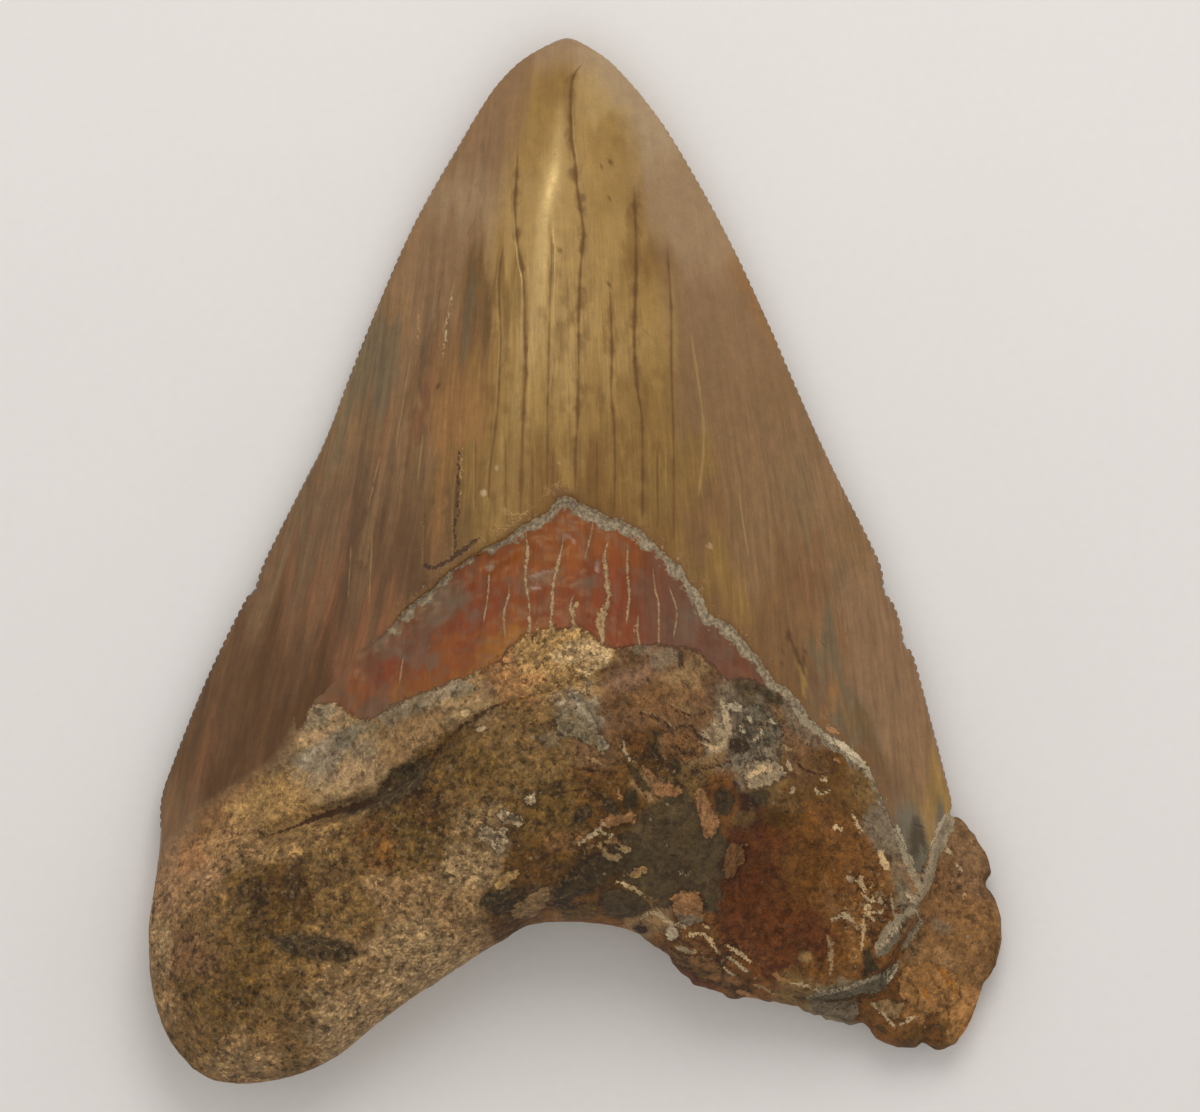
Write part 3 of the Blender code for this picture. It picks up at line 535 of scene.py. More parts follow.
def line_field(lines, x, y):
    """A field that changes sign on each of the lines, and half the width of the nearest one.

    The lines run down the tooth side by side and never cross, so each is x as a function of y.
    """
    sign, least, width = np.ones(len(x)), np.full(len(x), np.inf), np.zeros(len(x))
    for half_width, points in lines:
        curve = smooth_curve(points)
        offset = x - np.interp(-y, -curve[:, 1], curve[:, 0])
        upper, lower = curve[0, 1], curve[-1, 1]
        end = min(LINE_END, LINE_END_SHARE * (upper - lower))
        shown = half_width * (smoothstep(lower - LINE_OVERRUN, lower + LINE_FOOT_SHARE * end, y)
                              * (1 - smoothstep(upper - end, upper, y)))
        closer = np.abs(offset) < least
        width = np.where(closer, shown, width)
        least = np.where(closer, np.abs(offset), least)
        sign *= np.where(offset < 0, -1.0, 1.0)
    return sign * np.minimum(least, LINE_REACH), width


# ---------------------------------------------------------------------------------------------
# Skin
# ---------------------------------------------------------------------------------------------

def spaced(count, upper_count_share, upper_length_share, crowding):
    """Shares from 0 to 1: the upper stretch at its own spacing, and both ends crowded together."""
    even = np.linspace(0.0, 1.0, count + 1)
    even = (1 - crowding) * even + crowding * 0.5 * (1 - np.cos(np.pi * even))
    return np.interp(even, [0.0, upper_count_share, 1.0], [0.0, upper_length_share, 1.0])


def normals(points, side):
    """Unit vectors across a line of points: to its right for 1 and to its left for -1."""
    heading = np.gradient(points[:, :2], axis=0)
    across = side * np.column_stack([heading[:, 1], -heading[:, 0]])
    return across / np.linalg.norm(across, axis=1)[:, None]


def serrated(curve, crown_end_y, outward):
    """Rim points of one side: rounded serrations along the crown, then chipped steps along the root."""
    run = run_of(curve)
    crown_length = np.interp(-crown_end_y, -curve[:, 1], run)
    teeth = int(round(crown_length / SERRATION_PITCH))
    crown = np.linspace(0.0, crown_length, teeth * SERRATION_POINTS + 1)
    root = np.linspace(crown_length, run[-1], int((run[-1] - crown_length) / ROOT_RIM_STEP) + 1)
    share = np.concatenate([crown, root[1:]]) / run[-1]
    points = point_on(curve, share)
    phase = crown / crown_length * teeth
    wear = WEAR_MEAN + WEAR_SWING * WARP_NOISE.along(crown, outward, WEAR_SIZE)
    wave = np.abs(np.sin(np.pi * phase)) ** SERRATION_SHARPNESS - SERRATION_LEVEL
    chip = RIM_CHIP_DEPTH * WARP_NOISE.along(run_of(points), RIM_CHIP_ROW * outward, RIM_CHIP_SIZE)
    chip *= 1 if outward < 0 else RIM_CHIP_WHOLE
    crest = np.concatenate([SERRATION_DEPTH * wear * wave, chip[len(crown):]])
    points[:, :2] += crest[:, None] * normals(points, outward)
    return points, share


def plain(curve, step):
    """Points at even steps along a curve, and their shares of its length."""
    share = np.linspace(0.0, 1.0, int(run_of(curve)[-1] / step) + 1)
    return point_on(curve, share), share


def crumbled(points, share):
    """The root's lower rim with small nicks, deeper on the broken side, and still at its two ends."""
    run = share * run_of(BASE)[-1]
    nick = (WARP_NOISE.along(run, NICK_ROWS[0], BASE_NICK_SIZE)
            + SMALL_NICK_SHARE * WARP_NOISE.along(run, NICK_ROWS[1], SMALL_NICK_SIZE))
    reach = BASE_NICK_DEPTH * (NICK_WHOLE + (1 - NICK_WHOLE) * smoothstep(*NICK_X, points[:, 0]))
    calm_ends = smoothstep(0, NICK_END, share) * smoothstep(0, NICK_END, 1 - share)
    points[:, :2] += (reach * calm_ends * nick)[:, None] * normals(points, -1)
    return points, share


def zip_strip(outer, outer_share, inner, inner_share, flip):
    """Triangles between two rows of vertices that run side by side, ordered by their shares."""
    faces, i, j = [], 0, 0
    while i < len(outer) - 1 or j < len(inner) - 1:
        outer_next = outer_share[i + 1] if i < len(outer) - 1 else np.inf
        inner_next = inner_share[j + 1] if j < len(inner) - 1 else np.inf
        if outer_next <= inner_next:
            faces.append((outer[i], outer[i + 1], inner[j]))
            i += 1
        else:
            faces.append((outer[i], inner[j + 1], inner[j]))
            j += 1
    return [face[::-1] for face in faces] if flip else faces


def sheet(points_at, rows, columns, rim, start, flip):
    """Points and faces of one sheet inside the shared rim, numbered from `start`."""
    across = spaced(columns, 0.5, 0.5, COLUMN_CROWDING)[1:-1]
    along = spaced(rows, CROWN_ROWS, CROWN_LENGTH, 0.0)[1:-1]
    t, s = (field.ravel() for field in np.meshgrid(along, across, indexing="ij"))
    points = points_at(s, t)
    index = start + np.arange(len(s)).reshape(len(along), len(across))
    a, b, c, d = index[:-1, :-1], index[1:, :-1], index[1:, 1:], index[:-1, 1:]
    quads = np.stack([a, b, c, d] if not flip else [d, c, b, a], axis=-1).reshape(-1, 4)
    strips = zip_strip(*rim["left"], index[:, 0], along, flip)
    strips += zip_strip(*rim["base"], index[-1], across, flip)
    strips += zip_strip(*rim["right"], index[:, -1], along, not flip)
    strips += zip_strip(*rim["tip"], index[0], across, not flip)
    return points, quads.tolist() + [tuple(map(int, face)) for face in strips]


def shared_rim():
    """The closed rim's points, and for each side the numbers and shares of its points."""
    left, left_share = serrated(LEFT, CROWN_END_LEFT_Y, 1)
    right, right_share = serrated(RIGHT, CROWN_END_RIGHT_Y, -1)
    base, base_share = crumbled(*plain(BASE, ROOT_RIM_STEP))
    tip, tip_share = plain(TIP, ROOT_RIM_STEP)
    points = np.vstack([left, base[1:], right[-2::-1], tip[-2:0:-1]])
    points[:, 2] = RIM_HEIGHT(points[:, 0], points[:, 1])
    numbers = np.arange(len(points))
    corner_base = len(left) - 1
    corner_right = corner_base + len(base) - 1
    corner_tip = corner_right + len(right) - 1
    around_tip = np.append(numbers[corner_tip:], 0)
    sides = {"left": (numbers[:corner_base + 1], left_share),
             "base": (numbers[corner_base:corner_right + 1], base_share),
             "right": (numbers[corner_right:corner_tip + 1][::-1], right_share),
             "tip": (around_tip[::-1], tip_share)}
    return points, sides


# ---------------------------------------------------------------------------------------------
# Colours
# ---------------------------------------------------------------------------------------------

COLORS = {
    # enamel, from the gold middle to the brown flanks
    "straw": (174, 143, 92), "honey_with_sheen": (167, 134, 81), "gold_tan": (154, 121, 69),
    "olive_gold": (139, 107, 60), "deep_gold": (126, 92, 50), "olive_brown": (116, 88, 54),
    "rose_sand": (168, 142, 109), "rose_tan": (156, 127, 94), "rose_brown": (140, 108, 76),
    "clay": (134, 103, 70), "walnut": (124, 91, 59), "mauve_brown": (118, 90, 64),
    "dusk_brown": (104, 76, 52), "umber": (92, 65, 42), "grey_olive": (118, 99, 73),
    "copper": (150, 108, 66), "flush": (130, 88, 60), "edge_tan": (140, 108, 78),
    "crack_brown": (100, 69, 33),
    # bourlette
    "orange": (139, 78, 34), "ember": (129, 66, 31), "amber": (148, 94, 42), "maroon": (112, 66, 44),
    "violet_grey": (118, 92, 72), "mauve_red": (115, 76, 56), "pink_fleck": (178, 152, 134),
    # root, from cream to slate
    "cream": (180, 152, 112), "bone": (160, 139, 108), "sand": (140, 115, 82), "gold_sand": (146, 115, 74),
    "tan": (130, 103, 71), "orange_tan": (138, 101, 66), "ginger": (142, 103, 69),
    "grey_green": (118, 104, 80), "blue_grey": (126, 112, 92), "chalk": (172, 155, 126),
    "stone_pale": (138, 124, 101), "stone_grey": (110, 96, 78), "pewter": (103, 94, 77),
    "earth": (108, 84, 54), "mauve_earth": (106, 79, 56), "olive_earth": (96, 74, 45),
    "bark": (90, 65, 40), "dark_earth": (78, 58, 34), "slate": (76, 64, 48),
    "charcoal": (66, 56, 43), "dark_slate": (60, 49, 33), "rust_brown": (104, 71, 43),
    "rust_tan": (120, 86, 56), "red_brown": (88, 55, 32), "deep_brown": (60, 44, 27),
}
ROOT_GAIN = 1.64        # how much less light the rough root gives back than a plain colour does
MID_LIGHT = 1.045       # light on the middle of the tooth, which the colours are freed of
GLOSS_LIGHT = 0.016     # light that the gloss adds to every colour, in linear values

# Soft patches that melt into each other: colour, x, y, reach.
CROWN_MIDDLE_WASHES = [
    ("olive_gold", -1.6, 47, 2), ("gold_tan", -4.6, 46, 3), ("straw", 1.6, 47, 2),
    # The honey patches at y 34 and y 24 are the enamel's gold with painted sheen on it.
    ("gold_tan", -5, 40, 3), ("honey_with_sheen", -1, 34, 6), ("honey_with_sheen", 0, 24, 6), ("gold_tan", 4, 41, 2),
    ("olive_gold", 6.2, 36, 2), ("gold_tan", 3, 36, 2), ("gold_tan", 0, 15, 5),
    ("deep_gold", -1, 8, 4), ("gold_tan", 6, 27, 3), ("olive_gold", 6, 14, 4),
    ("olive_gold", -7, 26, 2), ("gold_tan", -6, 18, 2), ("olive_gold", -6, 8, 3),
    ("deep_gold", 8, 30, 2),
]
CROWN_FLANK_WASHES = [
    ("rose_tan", -2, 51, 3), ("rose_brown", -5.4, 48, 2), ("rose_brown", -7.6, 45, 3),
    ("rose_brown", -9.6, 41, 3), ("rose_tan", -10.2, 36, 2.5), ("rose_brown", -13.6, 31, 3),
    ("rose_brown", -15.6, 28, 3), ("olive_brown", -10, 28, 2), ("walnut", -9.6, 24, 2),
    ("clay", -18, 24, 2), ("grey_olive", -19.5, 18, 3), ("walnut", -16, 19, 2),
    ("clay", -22.6, 11, 3), ("copper", -13, 16, 3), ("olive_gold", -9, 17, 3),
    ("olive_gold", -9, 10, 4), ("clay", -17, 12, 3), ("mauve_brown", -24, 8, 4),
    ("mauve_brown", -19, 7, 4), ("olive_brown", -13, 6, 3), ("walnut", -13, 1, 2),
    ("mauve_brown", -29, 0, 4), ("mauve_brown", -24, -3, 3), ("dusk_brown", -18, 1, 3),
    ("dusk_brown", -23, -6, 3), ("dusk_brown", -30, -9, 4), ("flush", -21, -9, 3),
    ("umber", -28, -15, 4), ("dusk_brown", -36, -16, 4), ("umber", -35, -22, 3),
    ("mauve_brown", -39, -24, 3), ("rose_sand", 2.4, 50, 2), ("rose_sand", 4.8, 46.5, 3),
    ("rose_sand", 7.8, 43, 3), ("rose_tan", 10.4, 38, 3), ("rose_tan", 12.4, 33, 3),
    ("rose_tan", 14, 30, 3), ("rose_brown", 12, 26, 3), ("rose_brown", 16, 25, 3),
    ("clay", 12, 18, 4), ("rose_brown", 17, 21, 4), ("clay", 18, 12, 5), ("rose_brown", 23, 10, 4),
    ("olive_gold", 11, 8, 3), ("walnut", 13, 3, 3), ("clay", 18, 3, 4), ("olive_gold", 14, -3, 3),
    ("clay", 25, 2, 4), ("edge_tan", 29.4, -3, 2), ("walnut", 20, -6, 4), ("clay", 25, -7, 3),
    ("edge_tan", 29, -12, 3), ("edge_tan", 33, -13, 3), ("mauve_brown", 26, -13, 2),
    ("grey_olive", 28, -16, 2), ("walnut", 24, -11, 2), ("rose_brown", 35, -20, 3),
    ("gold_tan", 36, -24, 2), ("mauve_brown", 31, -22, 2), ("pewter", 32.4, -26, 2),
    ("pewter", 34, -30, 2),
]
BOURLETTE_WASHES = [
    ("orange", 0, 4, 3), ("orange", -4, 1, 3), ("orange", -2, -1, 2), ("ember", 4, -4, 3),
    ("ember", -1, -4, 3), ("orange", 6, 0, 2), ("mauve_red", 9, -4, 3), ("mauve_red", 15, -9, 4),
    ("violet_grey", 12, -6, 2), ("ember", -9, -4, 3), ("orange", -8, 0, 3),
    ("violet_grey", -13, -4, 2), ("orange", -6, -7, 3), ("amber", -9, -9, 2),
    ("orange", -12, -8, 2), ("maroon", -16, -8, 2), ("violet_grey", -18, -9, 2),
    ("orange", -15, -12, 2), ("maroon", -19, -11, 2), ("flush", -22, -13, 3),
    ("mauve_brown", -25, -13, 2),
]
ROOT_WASHES = [
    ("edge_tan", -40, -31, 3), ("clay", -36, -27, 3), ("gold_sand", -32, -24, 3),
    ("clay", -38, -34, 2), ("sand", -28, -19, 2.5), ("sand", -23, -20, 3), ("tan", -17, -16, 3),
    ("rose_tan", -26, -16, 2), ("sand", -11, -14, 3), ("orange_tan", -6, -12, 3),
    ("gold_sand", -1, -11, 3), ("gold_sand", -28, -26, 2), ("tan", -32, -29, 2),
    ("earth", -24, -29, 3), ("olive_earth", -32, -34, 3), ("dark_earth", -30, -33, 2),
    ("earth", -36, -36, 3), ("sand", -42, -38, 2), ("mauve_earth", -39, -39, 2),
    ("olive_earth", -36, -43, 3), ("earth", -38, -47, 3), ("tan", -41, -45, 2),
    ("tan", -33, -50, 3), ("earth", -29, -47, 3), ("sand", -24, -46, 3), ("tan", -22, -41, 3),
    ("sand", -16, -39, 3), ("earth", -28, -41, 3), ("olive_earth", -32, -39, 2),
    ("tan", -17, -33, 3), ("earth", -22, -35, 2), ("olive_earth", -17, -28, 3),
    ("dark_earth", -14, -24, 2), ("rust_brown", -19, -28, 2), ("olive_earth", -11, -20, 3),
    ("earth", -11, -26, 3), ("earth", -4, -20, 3), ("earth", -7, -17, 3), ("sand", -10, -30, 2.5),
    ("bark", -4, -30, 2.5), ("olive_earth", -3, -25, 3), ("dark_earth", -2, -30, 2),
    ("dark_earth", 3, -31, 2), ("dark_earth", -7, -34, 2), ("tan", -11, -35, 2),
    ("rust_brown", 0, -35, 2), ("blue_grey", 0, -15, 2), ("earth", -2, -17, 2),
    ("mauve_earth", 3, -19, 2), ("mauve_earth", 6, -13, 3), ("tan", 10, -13, 2),
    ("bark", 4, -23, 3), ("bark", 7, -19, 2), ("tan", 7, -22, 1.5), ("mauve_earth", 11, -16, 3),
    ("earth", 11, -21, 2), ("slate", 9, -29, 3), ("stone_grey", 16, -17, 2.5),
    ("slate", 17, -15, 1.5), ("bone", 14, -18, 1.2), ("blue_grey", 18, -19, 2),
    ("earth", 20, -21, 2), ("mauve_earth", 23, -18, 3), ("bark", 25, -22, 3), ("earth", 29, -23, 2),
    ("stone_grey", 31, -26, 2), ("rust_brown", 14, -25, 2), ("deep_brown", 17, -25, 1.5),
    ("bark", 21, -25, 2), ("red_brown", 18, -29, 3), ("red_brown", 16, -34, 3),
    ("rust_brown", 21, -31, 3), ("rust_brown", 24, -27, 2), ("red_brown", 20, -38, 3),
    ("red_brown", 24, -37, 2), ("rust_brown", 26, -31, 3), ("rust_brown", 28, -36, 3),
    ("tan", 8, -35, 1.5), ("rust_brown", 11, -37, 2), ("red_brown", 13, -40, 2),
    ("rust_brown", 17, -42, 2), ("rust_brown", 23, -41, 1.5), ("grey_green", 26, -44, 1.5),
    ("earth", 22, -43, 1.5), ("mauve_brown", 39, -28, 3), ("mauve_earth", 40, -32, 3),
    ("walnut", 41, -37, 3), ("walnut", 38, -38, 3), ("clay", 36, -41, 2), ("copper", 36, -44, 2.5),
    ("rust_brown", 33, -45, 2), ("bark", 35, -47, 1.5), ("rust_brown", 30, -44, 1.5),
    ("walnut", 35, -33, 2),
]

# Enamel that runs on down between the seam and the broken corner.
TONGUE = [
    (28, -19.6), (29.4, -20.9), (31.5, -26.3), (32.9, -29), (34.2, -31.6), (35.6, -28.4),
    (37.6, -25), (37.4, -22), (32, -18),
]

# Outline of the crown's gold middle.
GOLD_MIDDLE = [
    (-1.5, 49.6), (-4.2, 48.6), (-5.4, 45), (-6.2, 41.5), (-7.8, 36.2), (-8.8, 29.9), (-7.9, 22),
    (-8, 12), (-9.6, 5), (-9.6, -2), (10.6, -2), (10, 6), (9.9, 21), (9.2, 29.9), (7, 34.6),
    (6.4, 39.9), (5.2, 44.6), (1.6, 48.8),
]
GOLD_EDGE = 1.8         # half the width over which it melts into the flanks

# Patches with an uneven edge: colour, x, y, radius in x, radius in y, turn in degrees, strength.
CROWN_DABS = [
    ("walnut", -12.6, 21, 1.2, 5, -8, 0.5), ("walnut", -17, 16, 1.2, 5, -12, 0.55),
    ("deep_gold", -12.4, 11, 1, 4, -6, 0.4), ("dusk_brown", -14.4, 24, 0.5, 5, -12, 0.4),
    ("mauve_brown", -24, 0, 2, 5, -18, 0.35), ("straw", -1, 22, 3, 6, 0, 0.25),
    ("olive_brown", -9.6, 26, 1, 4.4, -4, 0.8), ("grey_olive", -10.9, 23.6, 0.8, 3.2, -8, 0.8),
    ("copper", -12.9, 15, 1.3, 5, -8, 0.95), ("copper", -9.4, 16, 1, 5, -4, 0.6),
    ("copper", -13.2, 7.6, 1, 3.6, -4, 0.5), ("copper", -13.6, 2, 1.1, 2.8, -4, 0.5),
    ("grey_olive", -20.2, 19.4, 1.6, 6, -24, 0.95), ("grey_olive", -23.4, 12.4, 1.3, 4.6, -24, 0.7),
    ("mauve_brown", -9.4, 37, 0.6, 6, -12, 0.3), ("mauve_brown", -15.4, 20, 0.5, 6, -10, 0.5),
    ("dusk_brown", -16, 12, 0.5, 8, -9, 0.6), ("rose_brown", -17.2, 17, 0.5, 6, -12, 0.6),
    ("flush", -15.2, 16, 0.5, 5, -10, 0.5), ("flush", -19.6, 12, 0.4, 6, -14, 0.5),
    ("dusk_brown", -18.4, 4, 0.7, 7, -9, 0.5), ("clay", -20.8, 3, 0.5, 6, -12, 0.6),
    ("dusk_brown", -22, 0, 0.8, 7, -10, 0.5), ("flush", -24.2, -1, 0.7, 6, -16, 0.5),
    ("grey_olive", -28.6, 0.5, 1, 6, -26, 0.5), ("flush", -24.4, -8.4, 0.7, 4.4, -18, 0.7),
    # The straw patch at (-3.6, 37.6) is a painted highlight glow, where the lamps' highlight falls.
    ("straw", -3.6, 37.6, 1.4, 4, 6, 0.3), ("deep_gold", 5.6, 31, 0.8, 5, 0, 0.55),
    ("gold_tan", 8.2, 19.8, 0.8, 3.2, 0, 0.7), ("copper", 16.8, 27.2, 1, 2.8, 24, 0.5),
    ("copper", 18.9, 22.6, 0.8, 2.8, 24, 0.5), ("flush", 26.6, -4, 1, 5, 12, 0.5),
    ("flush", 23.3, -3.8, 1.6, 4, 20, 0.35), ("grey_olive", 22.6, 4, 1.4, 4, 20, 0.35),
    ("grey_olive", 26, -1, 1.2, 3, 24, 0.5), ("edge_tan", 28.6, -8, 1.3, 8, 12, 0.9),
    ("grey_olive", 26.6, -13.4, 1.3, 4, 24, 0.9), ("olive_brown", 29.2, -17.6, 1.2, 3.4, 28, 0.6),
    ("grey_olive", 24.2, -11, 1.2, 1.8, 20, 0.8), ("slate", 33.9, -27.4, 0.8, 2, -12, 0.85),
    ("bark", 21.6, -10.9, 1, 0.7, 0, 0.8), ("gold_tan", 21.8, -12.4, 1.1, 0.6, -40, 0.9),
    ("olive_gold", 15.6, -3.6, 1.2, 0.8, 0, 0.8), ("copper", 26, -15.6, 1, 1.6, 30, 0.7),
    ("flush", -27, -3.5, 1.6, 5, -22, 0.5), ("flush", -20.4, -9.2, 1.4, 4, -22, 0.6),
    ("flush", -37.6, -20, 1.4, 5, -20, 0.4), ("umber", -31, -12, 1.4, 7, -22, 0.45),
    ("umber", -25.4, -13, 1.2, 5, -26, 0.45), ("olive_brown", 12, -3, 2, 1, -38, 0.5),
    ("rust_tan", -36.8, -25.4, 3, 0.9, 35, 0.6), ("dusk_brown", -32.4, -19.6, 3, 0.8, 38, 0.5),
]

# Spots that keep to their place, in the same form.
CROWN_SPOTS = [
    ("bark", 3.4, 39.6, 0.35, 0.4, 0, 0.8), ("bark", 2.6, 39.2, 0.28, 0.25, 0, 0.7),
    ("bark", 3.3, 35.9, 0.4, 0.3, 0, 0.8), ("deep_gold", 4.2, 41.2, 0.9, 1, 0, 0.2),
    ("deep_gold", 6.4, 41.8, 0.8, 0.8, 0, 0.2), ("bark", -1.6, 30.8, 0.22, 0.2, 0, 0.7),
    ("bark", 3.4, 27.4, 0.35, 0.3, 0, 0.8), ("bark", -13.7, 17.3, 0.25, 0.25, 0, 0.9),
    ("cream", -9.2, 6.6, 0.28, 0.28, 0, 1), ("cream", -7.8, 9, 0.2, 0.2, 0, 1),
    ("cream", 13.3, 1.3, 0.18, 0.22, 0, 0.9), ("cream", -1.6, 9.6, 0.2, 0.2, 0, 0.8),
]
BOURLETTE_DABS = [
    ("violet_grey", -4.5, -2.2, 2.7, 0.8, 12, 0.55), ("violet_grey", 1.5, -2.3, 1.1, 0.8, 0, 0.6),
    ("ember", -4.3, -5.3, 0.9, 1.8, 0, 0.7), ("violet_grey", -10.2, -5.8, 1, 1, 0, 0.7),
    ("violet_grey", -14.6, -6.8, 2.3, 1.3, 36, 0.7), ("maroon", -12.5, -6.9, 1.8, 1, 30, 0.7),
    ("ember", -9.9, -8.2, 2.1, 0.8, 22, 0.8), ("stone_grey", -15, -10.2, 1.8, 0.6, 24, 0.6),
    ("ember", -19.6, -11.6, 1.4, 1.2, 20, 0.7), ("amber", -15.9, -12.7, 2.5, 1, 18, 0.8),
    ("amber", -11.4, -11.1, 1.4, 0.7, 24, 0.8), ("orange", -21.6, -14.3, 1, 2, -20, 0.6),
    ("amber", -7, -7.6, 2.4, 0.8, 26, 0.95), ("rust_tan", -15.9, -4.8, 0.8, 0.7, 30, 0.7),
    ("orange", -5.4, 0.6, 1.6, 2.2, 0, 0.8), ("orange", 2.6, 2.6, 2.2, 1.2, -30, 0.9),
    ("ember", 1.6, -5, 1, 2, 0, 0.8), ("ember", 4.6, -3.4, 0.9, 3.4, 0, 0.9),
    ("amber", -14, -12, 4, 0.9, 22, 0.95), ("orange", -10.6, -10.2, 2, 0.8, 24, 0.9),
    ("ember", -18, -10.6, 1.8, 0.8, 20, 0.8), ("mauve_red", 11.6, -7.6, 2.2, 1.6, -45, 0.8),
    ("blue_grey", -16, -8.2, 1.6, 0.6, 28, 0.7), ("blue_grey", -13.2, -5, 1.4, 0.6, 34, 0.6),
    ("violet_grey", 0.4, 2.8, 3.4, 0.5, -20, 0.5), ("maroon", 7.4, -1.6, 1, 2.4, 10, 0.5),
    ("violet_grey", -2.4, -1.4, 1.8, 0.7, 15, 0.5), ("violet_grey", 0.6, -2.6, 1.4, 0.7, -10, 0.6),
    ("rust_brown", -24.4, -10.6, 0.8, 3, -24, 0.5), ("violet_grey", -12.6, -4.4, 2.6, 1, 38, 0.75),
    ("violet_grey", -16.4, -9.3, 2.4, 0.8, 25, 0.7), ("amber", -6, -8.4, 2.4, 0.9, 28, 0.8),
    ("amber", -8.6, -9.6, 2.2, 0.8, 25, 0.8), ("ember", 4.6, -4.6, 1, 3.2, 4, 0.7),
    ("ember", -11, -6.6, 2.2, 1, 25, 0.8), ("orange", -15, -11.8, 4, 1, 12, 0.8),
    ("orange", -21.4, -13.2, 1.2, 1.8, 0, 0.6), ("orange", 2, 1.6, 3, 1.4, -30, 0.6),
    ("maroon", -16, -8.2, 2.6, 0.9, 30, 0.7), ("maroon", 17, -10.6, 1.6, 1, -45, 0.8),
    ("mauve_red", 8.6, -4, 1.6, 3.6, 8, 0.7), ("violet_grey", 11, -6.8, 1.6, 1.4, -30, 0.6),
    ("maroon", 13.6, -8.4, 2.2, 0.9, -52, 0.6), ("pink_fleck", 2, -0.8, 0.45, 0.45, 0, 0.9),
    ("pink_fleck", -3.9, -2.7, 0.5, 0.25, 10, 0.7), ("pink_fleck", -0.9, 1.8, 0.6, 0.3, 0, 0.6),
    ("pink_fleck", -8.5, -0.5, 0.3, 0.5, 0, 0.6), ("pink_fleck", -3.2, -1.3, 1.2, 0.25, 14, 0.6),
    ("violet_grey", -20.6, -14.8, 1.6, 0.8, 20, 0.6),
]
